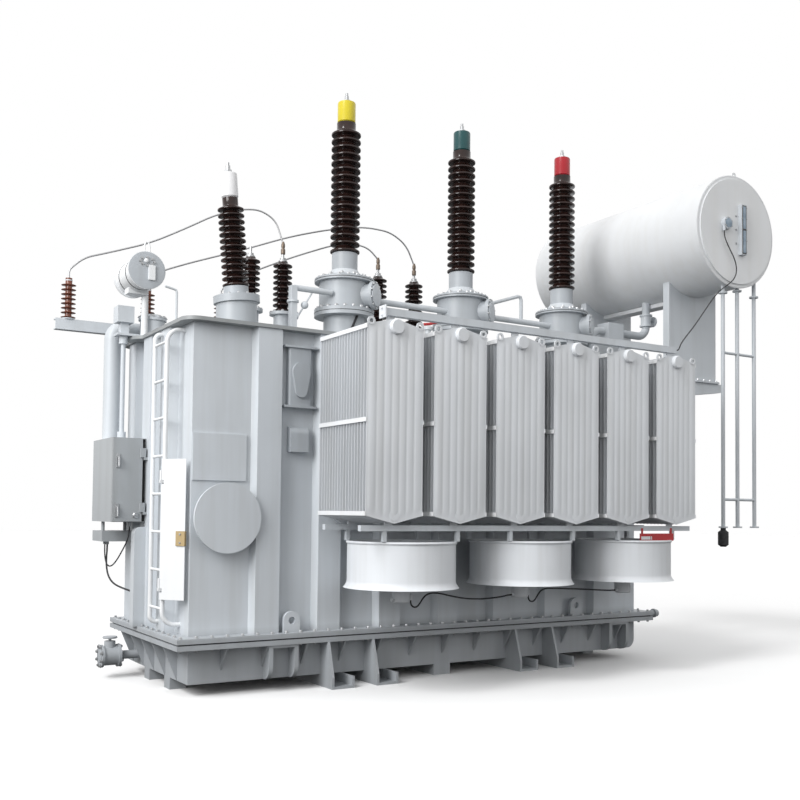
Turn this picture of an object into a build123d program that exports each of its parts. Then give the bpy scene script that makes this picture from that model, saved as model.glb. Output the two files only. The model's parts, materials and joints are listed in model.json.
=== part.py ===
from build123d import *
import os
from math import cos, radians, sin, sqrt, tan

# Oil-filled power transformer of the 110 kV class.
# +X runs along the tank towards the conservator, -Y is the front, +Z is up,
# and the origin is on the ground under the middle of the tank. Millimetres.

# Base trough, bell tank and cover
TANK_LENGTH = 4880
TANK_WIDTH = 1600
WALL_HEIGHT = 2530
FLANGE_REACH = 140
FLANGE_THICK = 40
GASKET_THICK = 12
GASKET_INSET = 20
BASE_DEPTH = 288
BASE_CORNER = 90
SKID_HEIGHT = 100
COVER_THICK = 30
COVER_REACH = 100
COVER_CORNER = 130
PILASTER_FACE = 215
PILASTER_DEPTH = 80
PILASTER_SLOPE = 27
PILASTER_LEFT_INSETS = (640, 1212, 1820)
PILASTER_RIGHT_INSETS = (2440, 1810, 1177, 535)
LEFT_PILASTERS = (-330, 150, 590)
RIGHT_PILASTERS = (-300, 300)
GUSSET_THICK = 16
GUSSET_INSET = 280
GUSSET_COUNT = 13
GUSSET_DROP = 190
END_GUSSET_PITCH = 295
END_GUSSET_COUNT = 5
END_GUSSET_SHIFT = 45
LUG_PLATE = 36

# Skids under the base
SHOE_CENTRES = (-1156, -720, 845, 1298)
SHOE_WIDTH = 215
SHOE_WALL = 22
SHOE_REACH = 230
CENTRE_SKID_WIDTH = 180
FOOT_WIDTH = 140
FOOT_CENTRES = (-305, 235)

# Jacking and pulling lugs
JACK_LEFT_INSET = 780
JACK_RIGHT_INSET = 332
JACK_SPACING = 230
JACK_STRIP = 24
JACK_CORNER_SHARE = 0.8
PULL_LEFT_INSET = 865
PULL_RIGHT_INSET = 880
PULL_ROUND_SHARE = 0.95
PULL_LUG_WIDTH = 150
PULL_LUG_HEIGHT = 175
PULL_HOLE = 60

# Fittings on the front wall
MANHOLE_INSET = 275
MANHOLE_Z = 1430
MANHOLE_DIAMETER = 570
MANHOLE_NECK = 440
MANHOLE_REACH = 95
MANHOLE_PLATE = 24
BLANK_WIDTH = 460
BLANK_HEIGHT = 382
BLANK_THICK = 14
BLANK_INSET = 235
BLANK_Z = 1923
NICHE_Z = 2626
NICHE_HEIGHT = 490
NICHE_CLEARANCE = 1
SHELF_THICK = 18
GAUGE_BOX_WIDTH = 215
TEARDROP_RADIUS = 82
TEARDROP_TIP = 52
TEARDROP_DROP = 165
TEARDROP_THICK = 26
HOOD_WIDTH = 172
HOOD_HEIGHT = 214
HOOD_DEPTH = 70
HOOD_ROUND = 62
HOOD_SHIFT = -5
HOOD_Z = 2096

# Radiators
RADIATOR_COUNT = 6
RADIATOR_PITCH = 628
RADIATOR_INSET = 437
RADIATOR_WIDTH = 520
RADIATOR_GAP = 200
FIN_COUNT = 18
FIN_PITCH = 46
FIN_THICK = 10
SHOULDER_LOW = 1462
SHOULDER_HIGH = 2954
PEAK_RISE = 62
HEADER_DIAMETER = 89
HEADER_INSET = 4
HEADER_CAP = 122
HEADER_CAP_REACH = 34
PIPE_FLANGE = 170
PIPE_FLANGE_THICK = 18
VALVE_DIAMETER = 150
VALVE_LENGTH = 60
STRAP_HEIGHT = 34
STRAP_THICK = 8
FLUTE_COUNT = 7
FLUTE_DEPTH = 8
FLUTE_SEAM = 9
FLUTE_MARGIN = 52
PANEL_BORDER = 16
EYE_DIAMETER = 68
EYE_HOLE = 36
EYE_THICK = 14
EYE_RISE = 24
LUG_WIDTH = 70
LUG_THICK = 14
TIE_BAR = 60
TIE_GAP = 34
TIE_INSET = 94
BEAM_SIZE = 46
BEAM_GAP = 14
BEAM_INSET = 96

# Fans
FAN_COUNT = 3
FAN_DIAMETER = 906
FAN_WALL = 8
FAN_HEIGHT = 384
FAN_DROP = 86
FAN_LIP = 30
FAN_LIP_HEIGHT = 24
FAN_FLANGE = 20
FAN_FLANGE_THICK = 10
HANGER_SIZE = 34
MOTOR_DIAMETER = 210
MOTOR_HEIGHT = 274
MOTOR_DROP = 130
MOTOR_END = 150
MOTOR_STEP = 20
GLAND_DIAMETER = 30
GLAND_REACH = 20
GLAND_LENGTH = 40
GLAND_ARM = 22
GLAND_IN_RISE = 26
GLAND_OUT_RISE = 18
ARM_COUNT = 4
ARM_WIDTH = 40
ARM_THICK = 12
SHAFT_DIAMETER = 40
SHAFT_CLEARANCE = 0.05
ROTOR_SEAT = 0.3
ROTOR_HUB = 170
ROTOR_HEIGHT = 96
ROTOR_BLADES = 6
BLADE_CLEARANCE = 18
BLADE_CHORD = 130
BLADE_THICK = 5
BLADE_PITCH = 26

# High-voltage bushings and their turrets
HV_COUNT = 3
HV_LEFT_INSET = 1800
HV_RIGHT_INSET = 320
RISER_DIAMETER = 400
RISER_HEIGHT = 360
TURRET_DIAMETER = 490
TURRET_FLANGE = 580
TURRET_FLANGE_THICK = 36
TURRET_HEIGHT = 300
SLEEVE_FLANGE = 420
SLEEVE_FLANGE_THICK = 28
SLEEVE_DIAMETER = 250
SLEEVE_HEIGHT = 228
HV_SHED_COUNT = 17
HV_SHED_PITCH = 72
HV_SHED_DIAMETER = 290
HV_CORE_DIAMETER = 186
HV_NECK = 62
HV_CAP_DIAMETER = 176
HV_CAP_HEIGHT = 210
HV_STUD_DIAMETER = 40
HV_STUD_HEIGHT = 94
CT_BOX_DIAMETER = 230
CT_BOX_REACH = 330
CT_BOX_TURN = -52
CT_COVER = 270
CT_COVER_THICK = 34

# Neutral bushing
NEUTRAL_INSET = 605
NEUTRAL_Y = -200
NEUTRAL_LEAN = 5
NEUTRAL_TURRET = 360
NEUTRAL_FLANGE = 410
NEUTRAL_HEIGHT = 325
NEUTRAL_SLEEVE = 220
NEUTRAL_SLEEVE_HEIGHT = 110
NEUTRAL_SHED_COUNT = 13
NEUTRAL_SHED_PITCH = 56
NEUTRAL_SHED_DIAMETER = 236
NEUTRAL_CORE_DIAMETER = 140
NEUTRAL_CAP_DIAMETER = 150
NEUTRAL_CAP_HEIGHT = 225

# Low-voltage bushings, post insulators and leads
LV_INSETS = (1007, 1350, 2439, 2885)
LV_Y = 450
LV_TURRET_DIAMETER = 170
LV_TURRET_FLANGE = 250
LV_TURRET_HEIGHT = 400
LV_SHED_COUNT = 9
LV_SHED_PITCH = 56
LV_SHED_DIAMETER = 190
LV_CORE_DIAMETER = 100
LV_STUD_DIAMETER = 30
LV_STUD_HEIGHT = 106
POST_BEAM_Y = 780
POST_BEAM_OUT = 740
POST_BEAM_IN = 960
POST_BEAM_HEIGHT = 100
POST_BEAM_WIDTH = 80
POST_BEAM_RISE = 68
POST_BEAM_WALL = 12
POST_INSETS = (-623, 108, 838)
POST_SHED_COUNT = 8
POST_SHED_PITCH = 42
POST_SHED_DIAMETER = 132
POST_CORE_DIAMETER = 76
LEAD_DIAMETER = 16
BEND_SHARE = 0.45
LEAD_RISE = 80
# Which low-voltage bushing each post's lead reaches, counted from 0 at the left end
LEAD_BUSHINGS = (1, 3, 2)
# Points of the leads between their upright ends: x from the left end, y, z over the cover
LEAD_ROUTES = (
    ((-496, 765, 750), (-266, 745, 830), (93, 700, 961), (385, 650, 1120), (694, 600, 1304),
     (934, 560, 1392), (1128, 520, 1410), (1280, 480, 1320)),
    ((236, 765, 730), (502, 740, 840), (1054, 680, 1044), (1494, 600, 1220), (1927, 540, 1350),
     (2305, 500, 1425), (2593, 470, 1410), (2785, 456, 1300)),
    ((949, 770, 730), (1148, 740, 840), (1526, 660, 1020), (1940, 560, 1186), (2158, 510, 1235),
     (2335, 475, 1200)),
)

# Tap changer gear at the left end
TAP_INSET = 40
TAP_Y = 405
TAP_BULGE = 215
TAP_HEAD_DIAMETER = 220
TAP_HEAD_FLANGE = 250
TAP_HEAD_HEIGHT = 190
TAP_LID_DIAMETER = 154
GEAR_BOX = 146
GEAR_RISE = 118
GEAR_PLATE = 20
SHAFT_OUT = 222
DRIVE_SHAFT = 42
COUPLING_DIAMETER = 76
COUPLING_LENGTH = 70
CABINET_FRONT = 125
CABINET_DEPTH = 624
CABINET_WIDTH = 296
CABINET_LOW = 1381
CABINET_HEIGHT = 731
CABINET_WALL = 6
DOOR_THICK = 24
DOOR_GAP = 6
TRAY_FRONT = 400
TRAY_DEPTH = 320
TRAY_LOW = 1205
TRAY_HEIGHT = 93
TRAY_POST = 30
TRAY_POST_INSET = 50
HINGE_PIN = 12
HINGE_BARREL = 22
HINGE_LENGTH = 80
HINGE_SEAT = 0.3
HINGE_INSET_SHARE = 0.12
PIN_CLEARANCE = 0.05
RISER_PIPE = 150
RISER_PIPE_Y = 650
RISER_PIPE_OUT = 250
RISER_PIPE_HIGH = 3140
RISER_BEND = 95
DUCT_Y = 140
DUCT_SIZE = 100
DUCT_TOP = 1340
DUCT_ROUND = 60
SMALL_DRUM_DIAMETER = 290
SMALL_DRUM_LENGTH = 450
SMALL_DRUM_OUT = 146
SMALL_DRUM_FLANGE = 330
SMALL_DRUM_FLANGE_THICK = 16
SMALL_DRUM_FRONT = 0
SMALL_DRUM_Z = 3567
DRUM_POST_OUT = 70
DRUM_POST_Y = 290
DRUM_POST = 60
SADDLE_WIDTH = 180
SADDLE_LENGTH = 120
SADDLE_SINK = 58

# Ladder and its guard
LADDER_REACH = 150
LADDER_NEAR = -595
LADDER_FAR = -282
RAIL_DIAMETER = 38
RUNG_DIAMETER = 24
RUNG_PITCH = 310
RUNG_COUNT = 8
RUNG_FIRST = 690
LADDER_LOW = 560
LADDER_HIGH = 2965
LADDER_BEND = 110
GUARD_WIDTH = 232
GUARD_LOW = 770
GUARD_HEIGHT = 1130
GUARD_THICK = 5
GUARD_TURN = -51
GUARD_HINGE_OUT = 35
GUARD_HINGE_SIDE = 15
GUARD_BARRELS = (90, 960)

# Conservator with its supports, gauge and pipes
DRUM_OUT = 990
DRUM_Z = 4550
DRUM_RADIUS = 600
DRUM_WALL = 10
DRUM_LENGTH = 2600
DRUM_END = 16
DRUM_RIM = 34
DRUM_EYE_INSETS = (12, 298)
DRUM_EYE_RISE = 20
SUPPORT_Y = 670
SUPPORT_START = 620
SUPPORT_WIDTH = 750
SUPPORT_THICK = 90
BRACKET_REACH = 1460
BRACKET_TOP = 2990
BRACKET_TIP_DEPTH = 90
BRACKET_ROOT_DEPTH = 270
BRACKET_THICK = 120
SADDLE_ANGLE_DROP = 330
LEVEL_OFFSET = 62
LEVEL_RISE = 19
LEVEL_HEIGHT = 546
LEVEL_WIDTH = 80
LEVEL_THICK = 46
DIAL_DIAMETER = 130
DIAL_OFFSET = -185
DIAL_RISE = 55
DIAL_GLAND_OFFSET = -45
OIL_PIPE = 89
OIL_PIPE_Y = -120
OIL_PIPE_Z = 3570
OIL_RISE_OFFSET = -119
OIL_PIPE_BEND = 130
RELAY_LENGTH = 230
RELAY_SIZE = 180
OIL_VALVE = 120
OIL_VALVE_FLANGE = 146
OIL_VALVE_LOW = 3690
OIL_VALVE_HEIGHT = 140
OIL_VALVE_RING = 18
OIL_VALVE_STEM = 24
OIL_WHEEL_REACH = 105
OIL_WHEEL_THICK = 14
GAS_PIPE = 60
GAS_PIPE_Y = -60
GAS_PIPE_Z = 3560
BREATHER_OFFSETS = (-118, 110, 384)
BREATHER_INSET = 60
BREATHER_PIPE = 42
BREATHER_TIE = 30
BREATHER_LOW = 1360
BREATHER_FLANGE = 96
BREATHER_FLANGE_THICK = 16
BREATHER_TOP_FLANGES = (3880, 3925, 3890)
BREATHER_BARS = (1664, 3242)
BREATHER_BODY = 110
BREATHER_BODY_HEIGHT = 200
BREATHER_NECK = 55
BREATHER_TAPER = 22

# Drain valve at the left end of the base
DRAIN_Y = 440
DRAIN_Z = 195
DRAIN_PIPE = 76
DRAIN_BODY = 170
DRAIN_REACH = 190
DRAIN_FLANGE = 200
DRAIN_FLANGE_THICK = 22
DRAIN_BONNET = 96
DRAIN_BONNET_HEIGHT = 130
DRAIN_STEM = 26
DRAIN_STEM_HEIGHT = 40
DRAIN_WHEEL = 120
DRAIN_WHEEL_THICK = 16

# Sheds, as shares of their pitch
SHED_START = 0.2
SHED_UNDER = 0.08
SHED_RIM = 0.22
SHED_TOP = 0.4

# Caps of the bushings
CAP_CHAMFER = 12

# Hanging cables
FAN_CABLE = 14
TRAY_CABLE = 16
CONTROL_CABLE = 12
TRAY_GLAND = 30
TRAY_CABLE_X = -290
TRAY_CABLE_YS = (540, 620)
CABINET_GLAND = 40
CABINET_CABLE_X = -190
CABINET_CABLE_Y = 215
DUCT_CABLE_X = -160
DUCT_CABLE_Z = 776
TIE_CABLE_RISE = 38
FAN_CABLE_RUN_IN = 35
DIAL_CABLE_RUN_IN = 32
# Points of the fan cables: x from the gland of the fan on the left, z over the motor's lower end
FAN_CABLE_LOOP = ((0, -10), (17, -36), (45, -45), (72, -36), (95, -9), (122, 28), (157, 58), (211, 71))
FAN_CABLE_ROUTES = (
    ((290, 66), (400, 40), (525, 16), (655, 3), (785, 1), (905, 8), (985, 17)),
    ((290, 68), (405, 63), (535, 56), (665, 48), (795, 39), (905, 31), (980, 27)),
)
# Points of the cables at the left end: x from the tank's end, y, z
TRAY_CABLE_ROUTE = (
    (-290, 540, 1128), (-292, 549, 1066), (-291, 551, 988), (-286, 523, 912), (-274, 470, 859),
    (-250, 405, 822), (-205, 345, 797), (-174, 290, 783), (-160, 246, 776),
)
CABINET_CABLE_ROUTE = (
    (-190, 215, 1296), (-194, 225, 1242), (-203, 266, 1188), (-215, 322, 1130), (-227, 385, 1072),
    (-239, 444, 1022), (-252, 500, 988), (-264, 552, 976), (-275, 594, 992), (-283, 617, 1032),
    (-288, 624, 1084), (-290, 620, 1132),
)
# Points of the dial's cable: x and z from the drum's axis, y from its end face
DIAL_CABLE_ROUTE = (
    (-230, -23, -67), (-217, -25, -115), (-186, -28, -168), (-144, -30, -228), (-100, -31, -284),
    (-63, -31, -344), (-45, -31, -411), (-54, -32, -476), (-95, -36, -536), (-160, -44, -585),
    (-245, -58, -633), (-345, -76, -690),
    (-450, -100, -760), (-560, -126, -850), (-672, -154, -950), (-785, -182, -1052), (-900, -214, -1150),
    (-1018, -250, -1238), (-1130, -290, -1316), (-1220, -326, -1382), (-1274, -354, -1437),
)

# Levels and planes worked out from the sizes above
HALF_LENGTH = TANK_LENGTH / 2
HALF_WIDTH = TANK_WIDTH / 2
PILASTER_CENTRES = [inset - HALF_LENGTH for inset in PILASTER_LEFT_INSETS]
PILASTER_CENTRES += [HALF_LENGTH - inset for inset in PILASTER_RIGHT_INSETS]
GUSSET_PITCH = (TANK_LENGTH - 2 * GUSSET_INSET) / (GUSSET_COUNT - 1)
JACK_CENTRES = (JACK_LEFT_INSET - HALF_LENGTH, HALF_LENGTH - JACK_RIGHT_INSET)
PULL_LUG_X = (PULL_LEFT_INSET - HALF_LENGTH, HALF_LENGTH - PULL_RIGHT_INSET)
MANHOLE_X = MANHOLE_INSET - HALF_LENGTH
BLANK_X = BLANK_INSET - HALF_LENGTH
BASE_TOP = SKID_HEIGHT + BASE_DEPTH
GASKET_BOTTOM = BASE_TOP + FLANGE_THICK
BELL_BOTTOM = GASKET_BOTTOM + GASKET_THICK
FLANGE_TOP = BELL_BOTTOM + FLANGE_THICK
WALL_TOP = FLANGE_TOP + WALL_HEIGHT
COVER_TOP = WALL_TOP + COVER_THICK
FIN_BACK = HALF_WIDTH + RADIATOR_GAP
FIN_FRONT = FIN_BACK + (FIN_COUNT - 1) * FIN_PITCH + FIN_THICK
PEAK_HIGH = SHOULDER_HIGH + PEAK_RISE
PEAK_LOW = SHOULDER_LOW - PEAK_RISE
HEADER_LEVELS = (SHOULDER_LOW + HEADER_INSET, SHOULDER_HIGH - HEADER_INSET)
RADIATOR_LAST = HALF_LENGTH - RADIATOR_INSET
RADIATOR_X = [RADIATOR_LAST - RADIATOR_PITCH * (RADIATOR_COUNT - 1 - i) for i in range(RADIATOR_COUNT)]
TIE_BOTTOM = PEAK_HIGH + TIE_GAP
BEAM_TOP = PEAK_LOW - BEAM_GAP
BEAM_BOTTOM = BEAM_TOP - BEAM_SIZE
FAN_TOP = BEAM_BOTTOM - FAN_DROP
FAN_BOTTOM = FAN_TOP - FAN_HEIGHT
FAN_RADIUS = FAN_DIAMETER / 2
FAN_Y = (FIN_BACK + FIN_FRONT) / 2
FAN_X = [(RADIATOR_X[2 * i] + RADIATOR_X[2 * i + 1]) / 2 for i in range(FAN_COUNT)]
MOTOR_LOW = FAN_BOTTOM - MOTOR_DROP
MOTOR_TOP = MOTOR_LOW + MOTOR_HEIGHT
GLAND_OUT = MOTOR_END / 2 + GLAND_REACH
HV_PITCH = (TANK_LENGTH - HV_LEFT_INSET - HV_RIGHT_INSET) / (HV_COUNT - 1)
HV_X = [HV_LEFT_INSET - HALF_LENGTH + HV_PITCH * i for i in range(HV_COUNT)]
TURRET_BOTTOM = COVER_TOP + RISER_HEIGHT
TURRET_TOP = TURRET_BOTTOM + TURRET_FLANGE_THICK + TURRET_HEIGHT
HV_PORCELAIN_LOW = TURRET_TOP + SLEEVE_FLANGE_THICK + SLEEVE_HEIGHT
HV_CAP_LOW = HV_PORCELAIN_LOW + HV_SHED_COUNT * HV_SHED_PITCH + HV_NECK
NEUTRAL_X = NEUTRAL_INSET - HALF_LENGTH
LV_X = [inset - HALF_LENGTH for inset in LV_INSETS]
LV_PORCELAIN_LOW = COVER_TOP + LV_TURRET_HEIGHT
POST_X = [inset - HALF_LENGTH for inset in POST_INSETS]
POST_BEAM_START = -HALF_LENGTH - POST_BEAM_OUT
POST_BEAM_END = POST_BEAM_IN - HALF_LENGTH
POST_BEAM_TOP = COVER_TOP + POST_BEAM_RISE + POST_BEAM_HEIGHT
LADDER_X = -HALF_LENGTH - LADDER_REACH
CABINET_BACK = -HALF_LENGTH - PILASTER_DEPTH
CABINET_OUTER = CABINET_BACK - CABINET_WIDTH
CABINET_TOP = CABINET_LOW + CABINET_HEIGHT
TAP_X = TAP_INSET - HALF_LENGTH
SHAFT_X = -HALF_LENGTH - SHAFT_OUT
RISER_PIPE_X = -HALF_LENGTH - RISER_PIPE_OUT
SMALL_DRUM_X = -HALF_LENGTH - SMALL_DRUM_OUT
DRUM_POST_X = -HALF_LENGTH - DRUM_POST_OUT
DOOR_HINGE_X = CABINET_BACK - HINGE_BARREL
DOOR_HINGE_Y = CABINET_FRONT - DOOR_THICK - HINGE_BARREL / 2
GUARD_HINGE_X = LADDER_X - GUARD_HINGE_OUT
GUARD_HINGE_Y = LADDER_NEAR - GUARD_HINGE_SIDE
DRUM_X = HALF_LENGTH + DRUM_OUT
DRUM_FACE = -DRUM_LENGTH / 2 - 2 * DRUM_END
SUPPORT_LEFT = HALF_LENGTH + SUPPORT_START
SUPPORT_RIGHT = SUPPORT_LEFT + SUPPORT_WIDTH
BRACKET_TIP = HALF_LENGTH + BRACKET_REACH
BREATHER_X = [DRUM_X + offset for offset in BREATHER_OFFSETS]
BREATHER_Y = BREATHER_INSET - DRUM_LENGTH / 2


def block(x0, x1, y0, y1, z0, z1):
    """Box between two corners."""
    return Pos((x0 + x1) / 2, (y0 + y1) / 2, (z0 + z1) / 2) * Box(x1 - x0, y1 - y0, z1 - z0)


def upright(x, y, z0, z1, diameter):
    """Vertical round bar."""
    return Pos(x, y, (z0 + z1) / 2) * Cylinder(diameter / 2, z1 - z0)


def bar(start, end, diameter):
    """Round bar between two points."""
    axis = Vector(*end) - Vector(*start)
    return extrude(Plane(origin=start, z_dir=axis) * Circle(diameter / 2), axis.length)


def turned(profile):
    """Solid of revolution about Z from (radius, height) points."""
    outline = Polyline(*[(r, 0, z) for r, z in profile], close=True)
    return revolve(make_face(outline), Axis.Z)


def side_plate(points, x, thick):
    """Plate in a Y-Z plane, centred on x, from (y, z) points."""
    outline = Polyline(*[(x - thick / 2, y, z) for y, z in points], close=True)
    return extrude(make_face(outline), amount=thick, dir=(1, 0, 0))


def front_plate(points, y, thick):
    """Plate in an X-Z plane, centred on y, from (x, z) points."""
    outline = Polyline(*[(x, y - thick / 2, z) for x, z in points], close=True)
    return extrude(make_face(outline), amount=thick, dir=(0, 1, 0))


def pipe(points, bend, diameter):
    """Pipe along straight runs with rounded corners."""
    path = FilletPolyline(*points, radius=bend)
    return sweep(Plane(origin=path @ 0, z_dir=path % 0) * Circle(diameter / 2), path)


def fuse(pieces):
    """One solid from pieces that meet."""
    return pieces[0].fuse(*pieces[1:])


def rounded_slab(length, width, z0, z1, corner):
    """Flat plate with round corners."""
    return extrude(Pos(0, 0, z0) * RectangleRounded(length, width, corner), z1 - z0)


def both_sides(shape):
    """The shape and its copy mirrored to the rear."""
    return [shape, mirror(shape, Plane.XZ)]


def sheds(low, count, pitch, diameter, core, neck):
    """Profile of a shed insulator standing on a level."""
    tip = diameter / 2
    root = core / 2
    profile = [(0, low), (root, low)]
    for i in range(count):
        z = low + pitch * (i + SHED_START)
        under = z + pitch * SHED_UNDER
        rim = under + pitch * SHED_RIM
        profile += [(root, z), (tip, under), (tip, rim), (root, rim + pitch * SHED_TOP)]
    top = low + count * pitch + neck
    return profile + [(root, top), (0, top)]


def export(name, pieces):
    """Write one node from one solid or several that do not touch."""
    solids = [s for piece in pieces for s in piece.solids()]
    shape = solids[0] if len(solids) == 1 else Compound(children=solids)
    export_step(shape, f"parts/{name}.step")


def base_tank():
    trough = block(-HALF_LENGTH, HALF_LENGTH, -HALF_WIDTH, HALF_WIDTH, SKID_HEIGHT, BASE_TOP)
    lower = trough.edges().filter_by(Axis.Y).group_by(Axis.Z)[0].sort_by(Axis.X)[-1]
    pieces = [fillet(lower, BASE_CORNER)]
    pieces.append(block(-HALF_LENGTH - FLANGE_REACH, HALF_LENGTH + FLANGE_REACH,
                        -HALF_WIDTH - FLANGE_REACH, HALF_WIDTH + FLANGE_REACH,
                        BASE_TOP, GASKET_BOTTOM))
    reach = FLANGE_REACH - GUSSET_THICK
    web = [(-HALF_WIDTH, BASE_TOP), (-HALF_WIDTH - reach, BASE_TOP), (-HALF_WIDTH, BASE_TOP - GUSSET_DROP)]
    for i in range(GUSSET_COUNT):
        x = (i - (GUSSET_COUNT - 1) / 2) * GUSSET_PITCH
        pieces += both_sides(side_plate(web, x, GUSSET_THICK))
    for i in range(END_GUSSET_COUNT):
        y = (i - (END_GUSSET_COUNT - 1) / 2) * END_GUSSET_PITCH + END_GUSSET_SHIFT
        end_web = [(-HALF_LENGTH, BASE_TOP), (-HALF_LENGTH - reach, BASE_TOP), (-HALF_LENGTH, SKID_HEIGHT)]
        plate = front_plate(end_web, y, GUSSET_THICK)
        pieces.append(plate)
    for centre in JACK_CENTRES:
        for side in (-0.5, 0.5):
            pieces += both_sides(jack_web(centre + side * JACK_SPACING))
        strip = block(centre - JACK_SPACING / 2, centre + JACK_SPACING / 2, -HALF_WIDTH - reach, -HALF_WIDTH,
                      BASE_TOP - JACK_STRIP, BASE_TOP)
        pieces += both_sides(strip)
    return fuse(pieces)


def jack_web(x):
    """Curved web of a jacking lug under the flange."""
    reach = FLANGE_REACH - GUSSET_THICK
    web = side_plate([(-HALF_WIDTH, BASE_TOP), (-HALF_WIDTH - reach, BASE_TOP),
                      (-HALF_WIDTH - reach, SKID_HEIGHT), (-HALF_WIDTH, SKID_HEIGHT)], x, LUG_PLATE)
    corner = web.edges().filter_by(Axis.X).group_by(Axis.Z)[0].sort_by(Axis.Y)[0]
    return fillet(corner, reach * JACK_CORNER_SHARE)


def skid_beams():
    reach = HALF_WIDTH + SHOE_REACH
    solids = []
    for centre in SHOE_CENTRES:
        left = centre - SHOE_WIDTH / 2
        right = centre + SHOE_WIDTH / 2
        pieces = [block(left, right, -reach, reach, 0, SHOE_WALL)]
        pieces.append(block(left, left + SHOE_WALL, -reach, reach, 0, SKID_HEIGHT))
        pieces.append(block(right - SHOE_WALL, right, -reach, reach, 0, SKID_HEIGHT))
        rib = [(-HALF_WIDTH, SKID_HEIGHT), (-reach, SKID_HEIGHT),
               (-HALF_WIDTH - FLANGE_REACH, BASE_TOP), (-HALF_WIDTH, BASE_TOP)]
        pieces += both_sides(side_plate(rib, left + SHOE_WALL / 2, SHOE_WALL))
        solids.append(fuse(pieces))
    centre = CENTRE_SKID_WIDTH / 2
    solids.append(block(-centre, centre, -HALF_WIDTH, HALF_WIDTH, 0, SKID_HEIGHT))
    for y in FOOT_CENTRES:
        foot = block(-HALF_LENGTH, -HALF_LENGTH + FOOT_WIDTH, y - FOOT_WIDTH / 2, y + FOOT_WIDTH / 2,
                     0, SKID_HEIGHT)
        solids.append(foot)
        solids.append(Pos(TANK_LENGTH - FOOT_WIDTH - 2 * BASE_CORNER, 0, 0) * foot)
    return solids


def flange_gasket():
    inset = FLANGE_REACH - GASKET_INSET
    return block(-HALF_LENGTH - inset, HALF_LENGTH + inset, -HALF_WIDTH - inset, HALF_WIDTH + inset,
                 GASKET_BOTTOM, BELL_BOTTOM)


def pilaster():
    """Upright stiffener of sloping sides that faces -Y and stands at the origin."""
    foot = PILASTER_FACE / 2 + PILASTER_SLOPE
    face = PILASTER_FACE / 2
    plan = Polyline((-foot, 0), (foot, 0), (face, -PILASTER_DEPTH), (-face, -PILASTER_DEPTH), close=True)
    return extrude(make_face(plan), WALL_HEIGHT)


def pulling_lug(x):
    """Upright lug with a round top and an eye, on the flange in front of the wall."""
    radius = PULL_LUG_WIDTH / 2
    top = FLANGE_TOP + PULL_LUG_HEIGHT
    left = x - radius
    right = x + radius
    outline = [(left, FLANGE_TOP), (right, FLANGE_TOP), (right, top), (left, top)]
    plate = front_plate(outline, -HALF_WIDTH - FLANGE_REACH / 2, LUG_PLATE)
    round_edges = plate.edges().filter_by(Axis.Y).group_by(Axis.Z)[-1]
    eye = Pos(x, -HALF_WIDTH, top - radius) * Rot(90, 0, 0)
    return fillet(round_edges, radius * PULL_ROUND_SHARE) - eye * Cylinder(PULL_HOLE / 2, 4 * FLANGE_REACH)


def bell_tank():
    pieces = [block(-HALF_LENGTH, HALF_LENGTH, -HALF_WIDTH, HALF_WIDTH, BELL_BOTTOM, WALL_TOP)]
    pieces.append(block(-HALF_LENGTH - FLANGE_REACH, HALF_LENGTH + FLANGE_REACH,
                        -HALF_WIDTH - FLANGE_REACH, HALF_WIDTH + FLANGE_REACH, BELL_BOTTOM, FLANGE_TOP))
    for x in PILASTER_CENTRES:
        pieces += both_sides(Pos(x, -HALF_WIDTH, FLANGE_TOP) * pilaster())
    for y in LEFT_PILASTERS:
        pieces.append(Pos(-HALF_LENGTH, y, FLANGE_TOP) * Rot(0, 0, -90) * pilaster())
    for y in RIGHT_PILASTERS:
        pieces.append(Pos(HALF_LENGTH, y, FLANGE_TOP) * Rot(0, 0, 90) * pilaster())
    stub_end = FIN_BACK - VALVE_LENGTH - PIPE_FLANGE_THICK
    for x in RADIATOR_X:
        for z in HEADER_LEVELS:
            pieces += both_sides(bar((x, -HALF_WIDTH, z), (x, -stub_end, z), HEADER_DIAMETER))
            flange = bar((x, -stub_end + PIPE_FLANGE_THICK, z), (x, -stub_end, z), PIPE_FLANGE)
            pieces += both_sides(flange)
    return fuse(pieces)


def radiator_valves():
    stub_end = FIN_BACK - VALVE_LENGTH - PIPE_FLANGE_THICK
    solids = []
    for x in RADIATOR_X:
        for z in HEADER_LEVELS:
            solids += both_sides(bar((x, -stub_end, z), (x, -stub_end - VALVE_LENGTH, z), VALVE_DIAMETER))
    return solids


def tank_cover():
    plate = rounded_slab(TANK_LENGTH + 2 * COVER_REACH, TANK_WIDTH + 2 * COVER_REACH, WALL_TOP, COVER_TOP,
                         COVER_CORNER)
    return plate.fuse(upright(TAP_X, TAP_Y, WALL_TOP, COVER_TOP, 2 * TAP_BULGE))


def ring_eye(x, y, z):
    """Lifting eye in an X-Z plane."""
    ring = bar((x, y - EYE_THICK / 2, z), (x, y + EYE_THICK / 2, z), EYE_DIAMETER)
    return ring - bar((x, y - EYE_THICK, z), (x, y + EYE_THICK, z), EYE_HOLE)


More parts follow.
